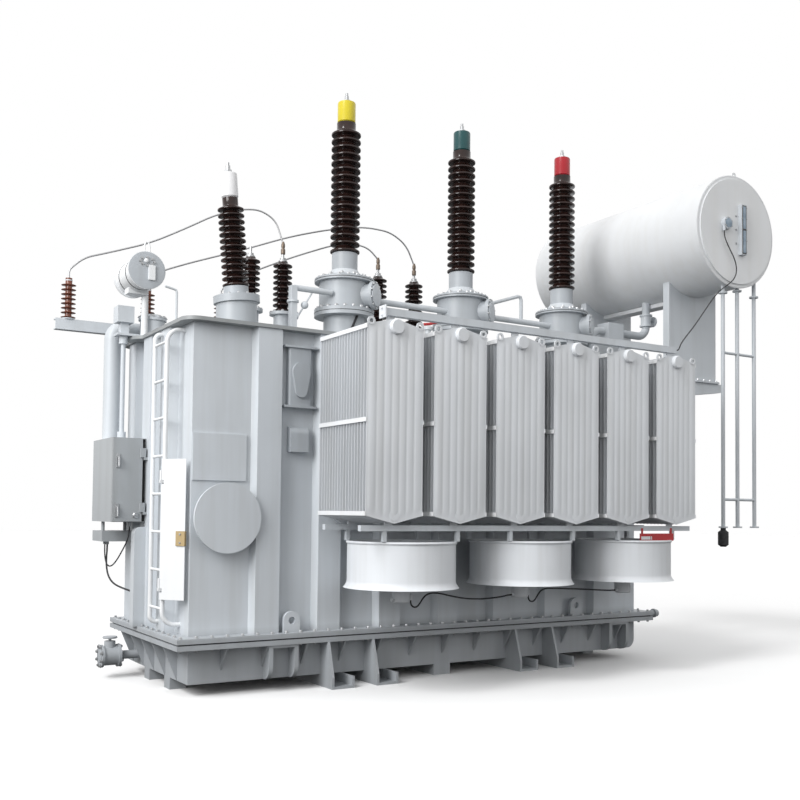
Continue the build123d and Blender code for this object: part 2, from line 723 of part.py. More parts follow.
def flutes():
    """Upright swellings of the outermost panel, between its gables."""
    half = RADIATOR_WIDTH / 2
    pitch = 2 * (half - PANEL_BORDER) / FLUTE_COUNT
    reach = (pitch - FLUTE_SEAM) / 2
    pieces = []
    for i in range(FLUTE_COUNT):
        x = (i - (FLUTE_COUNT - 1) / 2) * pitch
        rise = PEAK_RISE * (1 - (abs(x) + reach) / half)
        low = SHOULDER_LOW - rise + FLUTE_MARGIN
        high = SHOULDER_HIGH + rise - FLUTE_MARGIN
        crest = ThreePointArc((x - reach, -FIN_FRONT, low), (x, -FIN_FRONT - FLUTE_DEPTH, low),
                              (x + reach, -FIN_FRONT, low))
        root = Line((x + reach, -FIN_FRONT, low), (x - reach, -FIN_FRONT, low))
        pieces.append(extrude(make_face([crest, root]), amount=high - low, dir=(0, 0, 1)))
    return pieces


def radiator():
    """Panel radiator that faces -Y, with its middle at x = 0."""
    half = RADIATOR_WIDTH / 2
    outline = [(-half, SHOULDER_LOW), (0, PEAK_LOW), (half, SHOULDER_LOW),
               (half, SHOULDER_HIGH), (0, PEAK_HIGH), (-half, SHOULDER_HIGH)]
    fins = []
    for i in range(FIN_COUNT):
        y = -FIN_BACK - FIN_THICK / 2 - i * FIN_PITCH
        fins.append(front_plate(outline, y, FIN_THICK))
    flange_back = -FIN_BACK + PIPE_FLANGE_THICK
    pieces = []
    for z in HEADER_LEVELS:
        pieces.append(bar((0, flange_back, z), (0, -FIN_FRONT, z), HEADER_DIAMETER))
        pieces.append(bar((0, flange_back, z), (0, -FIN_BACK, z), PIPE_FLANGE))
    top = HEADER_LEVELS[-1]
    pieces.append(bar((0, -FIN_FRONT, top), (0, -FIN_FRONT - HEADER_CAP_REACH, top), HEADER_CAP))
    middle = (SHOULDER_LOW + SHOULDER_HIGH) / 2
    low = SHOULDER_LOW + STRAP_HEIGHT / 2
    high = SHOULDER_HIGH - STRAP_HEIGHT / 2
    for z in (low, middle, high):
        for side in (-1, 1):
            inner = side * half
            outer = side * (half + STRAP_THICK)
            pieces.append(block(min(inner, outer), max(inner, outer), -FIN_FRONT, -FIN_BACK,
                                z - STRAP_HEIGHT / 2, z + STRAP_HEIGHT / 2))
    for side in (-1, 1):
        eye_x = side * (half - EYE_DIAMETER / 2)
        pieces.append(ring_eye(eye_x, FIN_THICK / 2 - FIN_FRONT, SHOULDER_HIGH + EYE_RISE))
    tie_y = TIE_INSET - FIN_FRONT
    pieces.append(block(-LUG_WIDTH / 2, LUG_WIDTH / 2, tie_y - LUG_THICK / 2, tie_y + LUG_THICK / 2,
                        SHOULDER_HIGH, TIE_BOTTOM))
    for y in (-FIN_FRONT + BEAM_INSET, -FIN_BACK - BEAM_INSET):
        pieces.append(block(-LUG_WIDTH / 2, LUG_WIDTH / 2, y - LUG_THICK / 2, y + LUG_THICK / 2,
                            BEAM_TOP, SHOULDER_LOW))
    return fuse(fins + pieces + flutes())


def tie_bars():
    y = -FIN_FRONT + TIE_INSET
    left = RADIATOR_X[0] - LUG_WIDTH
    right = RADIATOR_X[-1] + LUG_WIDTH
    beam = block(left, right, y - TIE_BAR / 2, y + TIE_BAR / 2, TIE_BOTTOM, TIE_BOTTOM + TIE_BAR)
    z = TIE_BOTTOM + TIE_CABLE_RISE
    return both_sides(beam.fuse(bar((right, y, z), (right + GLAND_REACH, y, z), GLAND_DIAMETER)))


def hanger_points():
    """Places of the fan hangers about a fan's axis, over its flange."""
    ring = FAN_RADIUS + FAN_FLANGE / 2
    across = (FIN_FRONT - FIN_BACK) / 2 - BEAM_INSET
    along = sqrt(ring ** 2 - across ** 2)
    return [(sx * along, sy * across) for sx in (-1, 1) for sy in (-1, 1)]


def fan_frames():
    left = RADIATOR_X[0] - RADIATOR_WIDTH / 2
    right = RADIATOR_X[-1] + RADIATOR_WIDTH / 2
    solids = []
    for y in (-FIN_FRONT + BEAM_INSET, -FIN_BACK - BEAM_INSET):
        pieces = [block(left, right, y - BEAM_SIZE / 2, y + BEAM_SIZE / 2, BEAM_BOTTOM, BEAM_TOP)]
        for fan_x in FAN_X:
            for dx, dy in hanger_points():
                if abs(dy - FAN_Y - y) < BEAM_SIZE:
                    half = HANGER_SIZE / 2
                    pieces.append(block(fan_x + dx - half, fan_x + dx + half, y - half, y + half,
                                        FAN_TOP, BEAM_BOTTOM))
        solids += both_sides(fuse(pieces))
    return solids


def fan_casing():
    """Fan drum with its motor, axis on Z through the origin."""
    inner = FAN_RADIUS - FAN_WALL
    drum = turned([(inner, FAN_BOTTOM), (FAN_RADIUS + FAN_LIP, FAN_BOTTOM),
                   (FAN_RADIUS + FAN_LIP, FAN_BOTTOM + FAN_WALL), (FAN_RADIUS, FAN_BOTTOM + FAN_LIP_HEIGHT),
                   (FAN_RADIUS, FAN_TOP - FAN_FLANGE_THICK),
                   (FAN_RADIUS + FAN_FLANGE, FAN_TOP - FAN_FLANGE_THICK),
                   (FAN_RADIUS + FAN_FLANGE, FAN_TOP), (inner, FAN_TOP)])
    shaft_top = MOTOR_TOP + ROTOR_SEAT + ROTOR_HEIGHT + ROTOR_SEAT
    step = FAN_BOTTOM - MOTOR_STEP
    motor = turned([(0, MOTOR_LOW), (MOTOR_END / 2, MOTOR_LOW), (MOTOR_END / 2, step),
                    (MOTOR_DIAMETER / 2, step), (MOTOR_DIAMETER / 2, MOTOR_TOP),
                    (SHAFT_DIAMETER / 2, MOTOR_TOP), (SHAFT_DIAMETER / 2, shaft_top), (0, shaft_top)])
    z_in = MOTOR_LOW + GLAND_IN_RISE
    z_out = MOTOR_LOW + GLAND_OUT_RISE
    z_arm = z_out + GLAND_LENGTH - GLAND_DIAMETER / 2
    glands = [bar((0, 0, z_in), (-GLAND_OUT, 0, z_in), GLAND_DIAMETER)]
    glands.append(bar((0, 0, z_arm), (GLAND_OUT, 0, z_arm), GLAND_ARM))
    glands.append(upright(GLAND_OUT, 0, z_out, z_out + GLAND_LENGTH, GLAND_DIAMETER))
    arms = []
    for i in range(ARM_COUNT):
        arm = block(MOTOR_DIAMETER / 4, inner + FAN_WALL / 2, -ARM_WIDTH / 2, ARM_WIDTH / 2,
                    FAN_BOTTOM + FAN_LIP_HEIGHT, FAN_BOTTOM + FAN_LIP_HEIGHT + ARM_THICK)
        arms.append(Rot(0, 0, 45 + i * 360 / ARM_COUNT) * arm)
    return fuse([drum, motor] + glands + arms)


def fan_rotor():
    """Hub with pitched blades on the motor shaft, axis on Z through the origin."""
    low = MOTOR_TOP + ROTOR_SEAT
    hub = upright(0, 0, low, low + ROTOR_HEIGHT, ROTOR_HUB)
    tip = FAN_RADIUS - FAN_WALL - BLADE_CLEARANCE
    blades = []
    for i in range(ROTOR_BLADES):
        blade = block(ROTOR_HUB / 3, tip, -BLADE_CHORD / 2, BLADE_CHORD / 2,
                      -BLADE_THICK / 2, BLADE_THICK / 2)
        turn = Rot(0, 0, i * 360 / ROTOR_BLADES) * Rot(BLADE_PITCH, 0, 0)
        blades.append(Pos(0, 0, low + ROTOR_HEIGHT / 2) * turn * blade)
    whole = fuse([hub] + blades)
    bore = SHAFT_DIAMETER + 2 * SHAFT_CLEARANCE
    return whole - upright(0, 0, low - ROTOR_HEIGHT, low + 2 * ROTOR_HEIGHT, bore)


def hv_turret():
    """Flanged turret for a high-voltage bushing, axis on Z through the origin."""
    riser = RISER_DIAMETER / 2
    flange = TURRET_FLANGE / 2
    body = TURRET_DIAMETER / 2
    collar = SLEEVE_FLANGE / 2
    sleeve = SLEEVE_DIAMETER / 2
    low = TURRET_BOTTOM
    top = TURRET_TOP
    profile = [(0, COVER_TOP), (riser, COVER_TOP), (riser, low - TURRET_FLANGE_THICK),
               (flange, low - TURRET_FLANGE_THICK), (flange, low + TURRET_FLANGE_THICK),
               (body, low + TURRET_FLANGE_THICK), (body, top - TURRET_FLANGE_THICK),
               (flange, top - TURRET_FLANGE_THICK), (flange, top),
               (collar, top), (collar, top + SLEEVE_FLANGE_THICK), (sleeve, top + SLEEVE_FLANGE_THICK),
               (sleeve, HV_PORCELAIN_LOW), (0, HV_PORCELAIN_LOW)]
    middle = (TURRET_BOTTOM + TURRET_TOP) / 2
    turn = radians(CT_BOX_TURN)
    tip = (CT_BOX_REACH * cos(turn), CT_BOX_REACH * sin(turn), middle)
    cover_reach = CT_BOX_REACH - CT_COVER_THICK
    seat = (cover_reach * cos(turn), cover_reach * sin(turn), middle)
    return fuse([turned(profile), bar((0, 0, middle), tip, CT_BOX_DIAMETER), bar(seat, tip, CT_COVER)])


def hv_porcelain():
    return turned(sheds(HV_PORCELAIN_LOW, HV_SHED_COUNT, HV_SHED_PITCH, HV_SHED_DIAMETER, HV_CORE_DIAMETER,
                        HV_NECK))


def cap(low, diameter, height, stud, stud_height):
    """Bushing cap with its terminal stud."""
    radius = diameter / 2
    top = low + height
    rim = radius - CAP_CHAMFER
    return turned([(0, low), (rim, low), (radius, low + CAP_CHAMFER), (radius, top - CAP_CHAMFER), (rim, top),
                   (stud / 2, top), (stud / 2, top + stud_height), (0, top + stud_height)])


def neutral_place(shape):
    """Lean a shape drawn on the Z axis and stand it at the neutral's seat."""
    seat = Pos(NEUTRAL_X, NEUTRAL_Y, COVER_TOP + NEUTRAL_HEIGHT)
    return seat * Rot(0, -NEUTRAL_LEAN, 0) * shape


def neutral_turret():
    tilt = NEUTRAL_FLANGE / 2 * tan(radians(NEUTRAL_LEAN))
    tube = upright(NEUTRAL_X, NEUTRAL_Y, COVER_TOP, COVER_TOP + NEUTRAL_HEIGHT - tilt, NEUTRAL_TURRET)
    ring = NEUTRAL_FLANGE / 2
    neck = NEUTRAL_SLEEVE / 2
    head = turned([(0, -3 * tilt), (NEUTRAL_TURRET / 2, -3 * tilt),
                   (NEUTRAL_TURRET / 2, -TURRET_FLANGE_THICK), (ring, -TURRET_FLANGE_THICK),
                   (ring, SLEEVE_FLANGE_THICK), (neck, SLEEVE_FLANGE_THICK),
                   (neck, NEUTRAL_SLEEVE_HEIGHT), (0, NEUTRAL_SLEEVE_HEIGHT)])
    return tube.fuse(neutral_place(head))


def neutral_porcelain():
    return neutral_place(turned(sheds(NEUTRAL_SLEEVE_HEIGHT, NEUTRAL_SHED_COUNT, NEUTRAL_SHED_PITCH,
                                      NEUTRAL_SHED_DIAMETER, NEUTRAL_CORE_DIAMETER, HV_NECK)))


def neutral_cap():
    low = NEUTRAL_SLEEVE_HEIGHT + NEUTRAL_SHED_COUNT * NEUTRAL_SHED_PITCH + HV_NECK
    return neutral_place(cap(low, NEUTRAL_CAP_DIAMETER, NEUTRAL_CAP_HEIGHT, HV_STUD_DIAMETER, HV_STUD_HEIGHT))


def lv_turrets():
    tube = LV_TURRET_DIAMETER / 2
    ring = LV_TURRET_FLANGE / 2
    top = LV_PORCELAIN_LOW
    profile = [(0, COVER_TOP), (ring, COVER_TOP), (ring, COVER_TOP + SLEEVE_FLANGE_THICK),
               (tube, COVER_TOP + SLEEVE_FLANGE_THICK), (tube, top - SLEEVE_FLANGE_THICK),
               (ring, top - SLEEVE_FLANGE_THICK), (ring, top), (0, top)]
    return [Pos(x, LV_Y, 0) * turned(profile) for x in LV_X]


def lv_top():
    """Level of a low-voltage bushing's terminal, on which its lead lands."""
    return LV_PORCELAIN_LOW + LV_SHED_COUNT * LV_SHED_PITCH + LV_STUD_HEIGHT


def lv_bushings():
    profile = sheds(LV_PORCELAIN_LOW, LV_SHED_COUNT, LV_SHED_PITCH, LV_SHED_DIAMETER, LV_CORE_DIAMETER, 0)
    stud = LV_STUD_DIAMETER / 2
    profile[-1:] = [(stud, lv_top() - LV_STUD_HEIGHT), (stud, lv_top()), (0, lv_top())]
    return [Pos(x, LV_Y, 0) * turned(profile) for x in LV_X]


def post_beam():
    y0 = POST_BEAM_Y - POST_BEAM_WIDTH / 2
    y1 = POST_BEAM_Y + POST_BEAM_WIDTH / 2
    low = POST_BEAM_TOP - POST_BEAM_HEIGHT
    channel = block(POST_BEAM_START, POST_BEAM_END, y0, y1, low, POST_BEAM_TOP)
    hollow = block(POST_BEAM_START, POST_BEAM_END, y0 + POST_BEAM_WALL, y1, low + POST_BEAM_WALL,
                   POST_BEAM_TOP - POST_BEAM_WALL)
    pieces = [channel - hollow]
    for x in (POST_X[1] + POST_BEAM_WIDTH, POST_X[2]):
        pieces.append(block(x, x + POST_BEAM_WIDTH, y0, y1, COVER_TOP, low))
    return fuse(pieces)


def post_top():
    """Level of a post insulator's top fitting."""
    return POST_BEAM_TOP + POST_SHED_COUNT * POST_SHED_PITCH + POST_SHED_PITCH


def post_insulators():
    profile = sheds(POST_BEAM_TOP, POST_SHED_COUNT, POST_SHED_PITCH, POST_SHED_DIAMETER, POST_CORE_DIAMETER,
                    POST_SHED_PITCH)
    return [Pos(x, POST_BEAM_Y, 0) * turned(profile) for x in POST_X]


def cord(name, points, diameter):
    """Round conductor through hand-placed points, with arcs as large as its runs allow."""
    radii = []
    for before, here, after in zip(points, points[1:], points[2:]):
        first = Vector(*here) - Vector(*before)
        second = Vector(*after) - Vector(*here)
        half_turn = radians(first.get_angle(second)) / 2
        radii.append(BEND_SHARE * min(first.length, second.length) / tan(half_turn))
    path = FilletPolyline(*points, radius=radii)
    print(name, "length", round(path.length), "radii", [round(radius) for radius in radii])
    return sweep(Plane(origin=path @ 0, z_dir=path % 0) * Circle(diameter / 2), path)


def lv_leads():
    """Leads from the post insulators to three of the bushings, upright at both ends."""
    starts = [(x, POST_BEAM_Y, post_top()) for x in POST_X]
    ends = [(LV_X[i], LV_Y, lv_top()) for i in LEAD_BUSHINGS]
    solids = []
    for start, route, end in zip(starts, LEAD_ROUTES, ends):
        rise = [start, (start[0], start[1], start[2] + LEAD_RISE)]
        middle = [(x - HALF_LENGTH, y, COVER_TOP + z) for x, y, z in route]
        drop = [(end[0], end[1], end[2] + LEAD_RISE), end]
        solids.append(cord("lv lead", rise + middle + drop, LEAD_DIAMETER))
    return solids


def manhole_cover():
    wall = -HALF_WIDTH
    neck = bar((MANHOLE_X, wall, MANHOLE_Z), (MANHOLE_X, wall - MANHOLE_REACH, MANHOLE_Z), MANHOLE_NECK)
    plate = bar((MANHOLE_X, wall - MANHOLE_REACH, MANHOLE_Z),
                (MANHOLE_X, wall - MANHOLE_REACH - MANHOLE_PLATE, MANHOLE_Z), MANHOLE_DIAMETER)
    return neck.fuse(plate)


def blanking_plate():
    return block(BLANK_X - BLANK_WIDTH / 2, BLANK_X + BLANK_WIDTH / 2, -HALF_WIDTH - BLANK_THICK, -HALF_WIDTH,
                 BLANK_Z - BLANK_HEIGHT / 2, BLANK_Z + BLANK_HEIGHT / 2)


def gauge_box():
    """Instrument box between two shelves with its drop-shaped cover, and the hood below it."""
    wall = -HALF_WIDTH
    foot = PILASTER_FACE / 2 + PILASTER_SLOPE + NICHE_CLEARANCE
    left = PILASTER_CENTRES[0] + foot
    right = PILASTER_CENTRES[1] - foot
    middle = (left + right) / 2
    low = NICHE_Z - NICHE_HEIGHT / 2
    high = NICHE_Z + NICHE_HEIGHT / 2
    pieces = [block(left, right, wall - PILASTER_DEPTH, wall, low - SHELF_THICK, low)]
    pieces.append(block(left, right, wall - PILASTER_DEPTH, wall, high, high + SHELF_THICK))
    box_front = wall - PILASTER_DEPTH + SHELF_THICK
    box = block(middle - GAUGE_BOX_WIDTH / 2, middle + GAUGE_BOX_WIDTH / 2, box_front, wall, low, high)
    pieces.append(fillet(box.edges().filter_by(Axis.Z).group_by(Axis.Y)[0], SHELF_THICK))
    drop_top = NICHE_Z + TEARDROP_RADIUS / 2
    outline = make_hull([Pos(middle, drop_top) * Circle(TEARDROP_RADIUS).edge(),
                         Pos(middle, drop_top - TEARDROP_DROP) * Circle(TEARDROP_TIP).edge()])
    drop = extrude(Plane.XZ.offset(-box_front) * outline, TEARDROP_THICK)
    pieces.append(drop)
    hood_x = middle + HOOD_SHIFT
    hood = block(hood_x - HOOD_WIDTH / 2, hood_x + HOOD_WIDTH / 2, wall - HOOD_DEPTH, wall,
                 HOOD_Z - HOOD_HEIGHT / 2, HOOD_Z + HOOD_HEIGHT / 2)
    brow = hood.edges().filter_by(Axis.X).group_by(Axis.Z)[-1].sort_by(Axis.Y)[0]
    return [fuse(pieces), fillet(brow, HOOD_ROUND)]


def tap_changer_head():
    tube = TAP_HEAD_DIAMETER / 2
    ring = TAP_HEAD_FLANGE / 2
    top = COVER_TOP + TAP_HEAD_HEIGHT
    profile = [(0, COVER_TOP), (ring, COVER_TOP), (ring, COVER_TOP + SLEEVE_FLANGE_THICK),
               (tube, COVER_TOP + SLEEVE_FLANGE_THICK), (tube, top - SLEEVE_FLANGE_THICK),
               (ring, top - SLEEVE_FLANGE_THICK), (ring, top),
               (TAP_LID_DIAMETER / 2, top + SLEEVE_FLANGE_THICK), (0, top + SLEEVE_FLANGE_THICK)]
    return Pos(TAP_X, TAP_Y, 0) * turned(profile)


def drive_gear():
    """Bevel gear box on a bracket plate, over the drive shaft."""
    low = COVER_TOP + GEAR_RISE
    half = GEAR_BOX / 2
    tap_edge = TAP_X - TAP_HEAD_FLANGE / 2 - GEAR_PLATE
    plate = block(SHAFT_X - half, tap_edge, TAP_Y - half, TAP_Y + half, COVER_TOP, COVER_TOP + GEAR_PLATE)
    stem = block(SHAFT_X - half / 2, SHAFT_X + half / 2, TAP_Y - half / 2, TAP_Y + half / 2,
                 COVER_TOP + GEAR_PLATE, low)
    box = block(SHAFT_X - half, SHAFT_X + half, TAP_Y - half, TAP_Y + half, low, low + GEAR_BOX)
    return fuse([plate, stem, box])


def drive_shaft():
    pieces = [upright(SHAFT_X, TAP_Y, CABINET_TOP, COVER_TOP, DRIVE_SHAFT)]
    pieces.append(upright(SHAFT_X, TAP_Y, CABINET_TOP, CABINET_TOP + COUPLING_LENGTH, COUPLING_DIAMETER))
    pieces.append(upright(SHAFT_X, TAP_Y, COVER_TOP - COUPLING_LENGTH, COVER_TOP, COUPLING_DIAMETER))
    return fuse(pieces)


def hinge_levels(low, height):
    """Lower ends of the two knuckles of a door."""
    inset = height * HINGE_INSET_SHARE
    return (low + inset, low + height - inset - HINGE_LENGTH)


def drive_cabinet():
    shell = block(CABINET_OUTER, CABINET_BACK, CABINET_FRONT, CABINET_FRONT + CABINET_DEPTH,
                  CABINET_LOW, CABINET_TOP)
    inside = block(CABINET_OUTER + CABINET_WALL, CABINET_BACK - CABINET_WALL, CABINET_FRONT - CABINET_WALL,
                   CABINET_FRONT + CABINET_DEPTH - CABINET_WALL, CABINET_LOW + CABINET_WALL,
                   CABINET_TOP - CABINET_WALL)
    pieces = [shell - inside]
    for z in hinge_levels(CABINET_LOW, CABINET_HEIGHT):
        lug = block(DOOR_HINGE_X - HINGE_BARREL / 2, CABINET_BACK, DOOR_HINGE_Y - HINGE_BARREL / 2,
                    CABINET_FRONT, z - HINGE_BARREL - HINGE_SEAT, z - HINGE_SEAT)
        pieces.append(lug)
        pieces.append(upright(DOOR_HINGE_X, DOOR_HINGE_Y, z - HINGE_SEAT, z + HINGE_LENGTH, HINGE_PIN))
    tray_top = TRAY_LOW + TRAY_HEIGHT
    tray_middle = TRAY_FRONT + TRAY_DEPTH / 2
    pieces.append(block(CABINET_OUTER, CABINET_BACK, TRAY_FRONT, TRAY_FRONT + TRAY_DEPTH, TRAY_LOW, tray_top))
    for x in (CABINET_OUTER + TRAY_POST_INSET, CABINET_BACK - TRAY_POST_INSET):
        pieces.append(upright(x, tray_middle, tray_top, CABINET_LOW, TRAY_POST))
    for y in TRAY_CABLE_YS:
        pieces.append(upright(TRAY_CABLE_X - HALF_LENGTH, y, TRAY_LOW - TRAY_GLAND, TRAY_LOW, GLAND_DIAMETER))
    pieces.append(upright(CABINET_CABLE_X - HALF_LENGTH, CABINET_CABLE_Y, CABINET_LOW - CABINET_GLAND,
                          CABINET_LOW, GLAND_DIAMETER))
    return fuse(pieces)


def cabinet_door():
    low = CABINET_LOW + DOOR_GAP
    high = CABINET_TOP - DOOR_GAP
    right = DOOR_HINGE_X - HINGE_BARREL / 2 - DOOR_GAP
    panel = block(CABINET_OUTER, right, CABINET_FRONT - DOOR_THICK, CABINET_FRONT - DOOR_GAP, low, high)
    pieces = [panel]
    for z in hinge_levels(CABINET_LOW, CABINET_HEIGHT):
        pieces.append(upright(DOOR_HINGE_X, DOOR_HINGE_Y, z, z + HINGE_LENGTH, HINGE_BARREL))
        pieces.append(block(right - HINGE_BARREL, DOOR_HINGE_X, DOOR_HINGE_Y - HINGE_BARREL / 2,
                            CABINET_FRONT - DOOR_THICK, z, z + HINGE_LENGTH))
    whole = fuse(pieces)
    bore = upright(DOOR_HINGE_X, DOOR_HINGE_Y, CABINET_LOW, CABINET_TOP, HINGE_PIN + 2 * PIN_CLEARANCE)
    return whole - bore


def riser_pipe():
    """Wide conduit from the drive cabinet up and over onto the cover."""
    y = RISER_PIPE_Y
    landing = -HALF_LENGTH + RISER_PIPE
    points = [(RISER_PIPE_X, y, CABINET_TOP), (RISER_PIPE_X, y, RISER_PIPE_HIGH),
              (landing, y, RISER_PIPE_HIGH), (landing, y, COVER_TOP)]
    return [pipe(points, RISER_BEND, RISER_PIPE), cable_duct()]


def cable_duct():
    """Upright sheet duct on the end wall that takes in the cable from the tray."""
    outer = CABINET_BACK - DUCT_SIZE
    side = DUCT_Y + DUCT_SIZE / 2
    duct = block(outer, CABINET_BACK, DUCT_Y - DUCT_SIZE / 2, side, FLANGE_TOP, DUCT_TOP)
    brow = duct.edges().filter_by(Axis.Y).group_by(Axis.Z)[-1].sort_by(Axis.X)[0]
    x = DUCT_CABLE_X - HALF_LENGTH
    gland = bar((x, side, DUCT_CABLE_Z), (x, side + GLAND_REACH, DUCT_CABLE_Z), GLAND_DIAMETER)
    return fillet(brow, DUCT_ROUND).fuse(gland)


def small_conservator():
    back = SMALL_DRUM_FRONT + SMALL_DRUM_LENGTH
    drum = bar((SMALL_DRUM_X, SMALL_DRUM_FRONT, SMALL_DRUM_Z), (SMALL_DRUM_X, back, SMALL_DRUM_Z),
               SMALL_DRUM_DIAMETER)
    saddle_low = SMALL_DRUM_Z - SMALL_DRUM_DIAMETER / 2 - GEAR_PLATE
    saddle = block(SMALL_DRUM_X - SADDLE_WIDTH / 2, SMALL_DRUM_X + SADDLE_WIDTH / 2,
                   DRUM_POST_Y - SADDLE_LENGTH / 2, DRUM_POST_Y + SADDLE_LENGTH / 2,
                   saddle_low, SMALL_DRUM_Z - SMALL_DRUM_DIAMETER / 2 + SADDLE_SINK)
    post = upright(DRUM_POST_X, DRUM_POST_Y, COVER_TOP, saddle_low, DRUM_POST)
    pieces = [drum, saddle, post]
    for y in (SMALL_DRUM_FRONT, back - SMALL_DRUM_FLANGE_THICK):
        pieces.append(bar((SMALL_DRUM_X, y, SMALL_DRUM_Z),
                          (SMALL_DRUM_X, y + SMALL_DRUM_FLANGE_THICK, SMALL_DRUM_Z), SMALL_DRUM_FLANGE))
    return fuse(pieces)


def rail(y, wall):
    bend = min(LADDER_BEND, abs(wall - LADDER_X) - RAIL_DIAMETER / 2)
    return pipe([(wall, y, LADDER_HIGH), (LADDER_X, y, LADDER_HIGH), (LADDER_X, y, LADDER_LOW),
                 (wall, y, LADDER_LOW)], bend, RAIL_DIAMETER)


def ladder_rails():
    near = [rail(LADDER_NEAR, -HALF_LENGTH)]
    for offset in GUARD_BARRELS:
        z = GUARD_LOW + offset
        lug = block(GUARD_HINGE_X - HINGE_BARREL / 2, LADDER_X, GUARD_HINGE_Y - HINGE_BARREL / 2, LADDER_NEAR,
                    z - HINGE_BARREL - HINGE_SEAT, z - HINGE_SEAT)
        near.append(lug)
        near.append(upright(GUARD_HINGE_X, GUARD_HINGE_Y, z - HINGE_SEAT, z + HINGE_LENGTH, HINGE_PIN))
    return [fuse(near), rail(LADDER_FAR, -HALF_LENGTH - PILASTER_DEPTH)]


def ladder_rungs():
    solids = []
    for i in range(RUNG_COUNT):
        z = RUNG_FIRST + i * RUNG_PITCH
        rung = bar((LADDER_X, LADDER_NEAR, z), (LADDER_X, LADDER_FAR, z), RUNG_DIAMETER)
        for y in (LADDER_NEAR, LADDER_FAR):
            rung = rung - upright(LADDER_X, y, z - RUNG_PITCH, z + RUNG_PITCH, RAIL_DIAMETER)
        solids.append(rung)
    return solids


def ladder_guard():
    """Guard sheet on its two knuckles, drawn along +X from the hinge and then turned."""
    sheet = block(HINGE_BARREL / 4, GUARD_WIDTH, -GUARD_THICK / 2, GUARD_THICK / 2, GUARD_LOW,
                  GUARD_LOW + GUARD_HEIGHT)
    pieces = []
    clear = HINGE_BARREL + 2 * DOOR_GAP
    for offset in GUARD_BARRELS:
        z = GUARD_LOW + offset
        notch = block(0, HINGE_BARREL + DOOR_GAP, -HINGE_BARREL, HINGE_BARREL, z - clear, z)
        sheet = sheet - notch
        pieces.append(upright(0, 0, z, z + HINGE_LENGTH, HINGE_BARREL))
    whole = fuse([sheet] + pieces)
    bore = upright(0, 0, 0, CABINET_TOP, HINGE_PIN + 2 * PIN_CLEARANCE)
    return Pos(GUARD_HINGE_X, GUARD_HINGE_Y, 0) * Rot(0, 0, GUARD_TURN) * (whole - bore)


def drum_bar(y0, y1, radius):
    """Solid bar on the conservator's axis."""
    return bar((DRUM_X, y0, DRUM_Z), (DRUM_X, y1, DRUM_Z), 2 * radius)


def conservator_shell():
    half = DRUM_LENGTH / 2
    eyes = []
    for inset in DRUM_EYE_INSETS:
        eyes += both_sides(ring_eye(DRUM_X, inset - half, DRUM_Z + DRUM_RADIUS + DRUM_EYE_RISE))
    return fuse([drum_bar(-half, half, DRUM_RADIUS)] + eyes) - drum_bar(-half, half, DRUM_RADIUS - DRUM_WALL)


def conservator_end():
    """Front end plate with a dished middle inside its rim."""
    half = DRUM_LENGTH / 2
    rim = DRUM_RADIUS - DRUM_RIM
    plate = drum_bar(-half - DRUM_END, -half, DRUM_RADIUS)
    dish = drum_bar(-half - 2 * DRUM_END, -half - DRUM_END, rim)
    return plate.fuse(dish)


def conservator_support(side):
    """Bracket on the tank's end wall with a column that carries the drum."""
    y = side * SUPPORT_Y
    root = HALF_LENGTH
    arm = front_plate([(root, BRACKET_TOP), (BRACKET_TIP, BRACKET_TOP),
                       (BRACKET_TIP, BRACKET_TOP - BRACKET_TIP_DEPTH),
                       (root, BRACKET_TOP - BRACKET_ROOT_DEPTH)], y, BRACKET_THICK)
    column = block(SUPPORT_LEFT, SUPPORT_RIGHT, y - SUPPORT_THICK / 2, y + SUPPORT_THICK / 2, BRACKET_TOP,
                   DRUM_Z - SADDLE_ANGLE_DROP)
    return arm.fuse(column - drum_bar(-DRUM_LENGTH, DRUM_LENGTH, DRUM_RADIUS))


def level_gauge():
    """Gauge strip on the drum's end, and the dial beside it with its cable gland."""
    x = DRUM_X + LEVEL_OFFSET
    z = DRUM_Z + LEVEL_RISE
    front = DRUM_FACE - LEVEL_THICK
    strip = block(x - LEVEL_WIDTH / 2, x + LEVEL_WIDTH / 2, front, DRUM_FACE,
                  z - LEVEL_HEIGHT / 2, z + LEVEL_HEIGHT / 2)
    dial_x = DRUM_X + DIAL_OFFSET
    dial_z = DRUM_Z + DIAL_RISE
    dial = bar((dial_x, DRUM_FACE, dial_z), (dial_x, front, dial_z), DIAL_DIAMETER)
    gland = upright(dial_x + DIAL_GLAND_OFFSET, DRUM_FACE - LEVEL_THICK / 2, dial_gland_low(), dial_z,
                    GLAND_DIAMETER)
    return [strip, dial.fuse(gland)]


def dial_gland_low():
    """Level of the lower face of the dial's cable gland."""
    return DRUM_Z + DIAL_RISE - DIAL_DIAMETER / 2 - GLAND_REACH


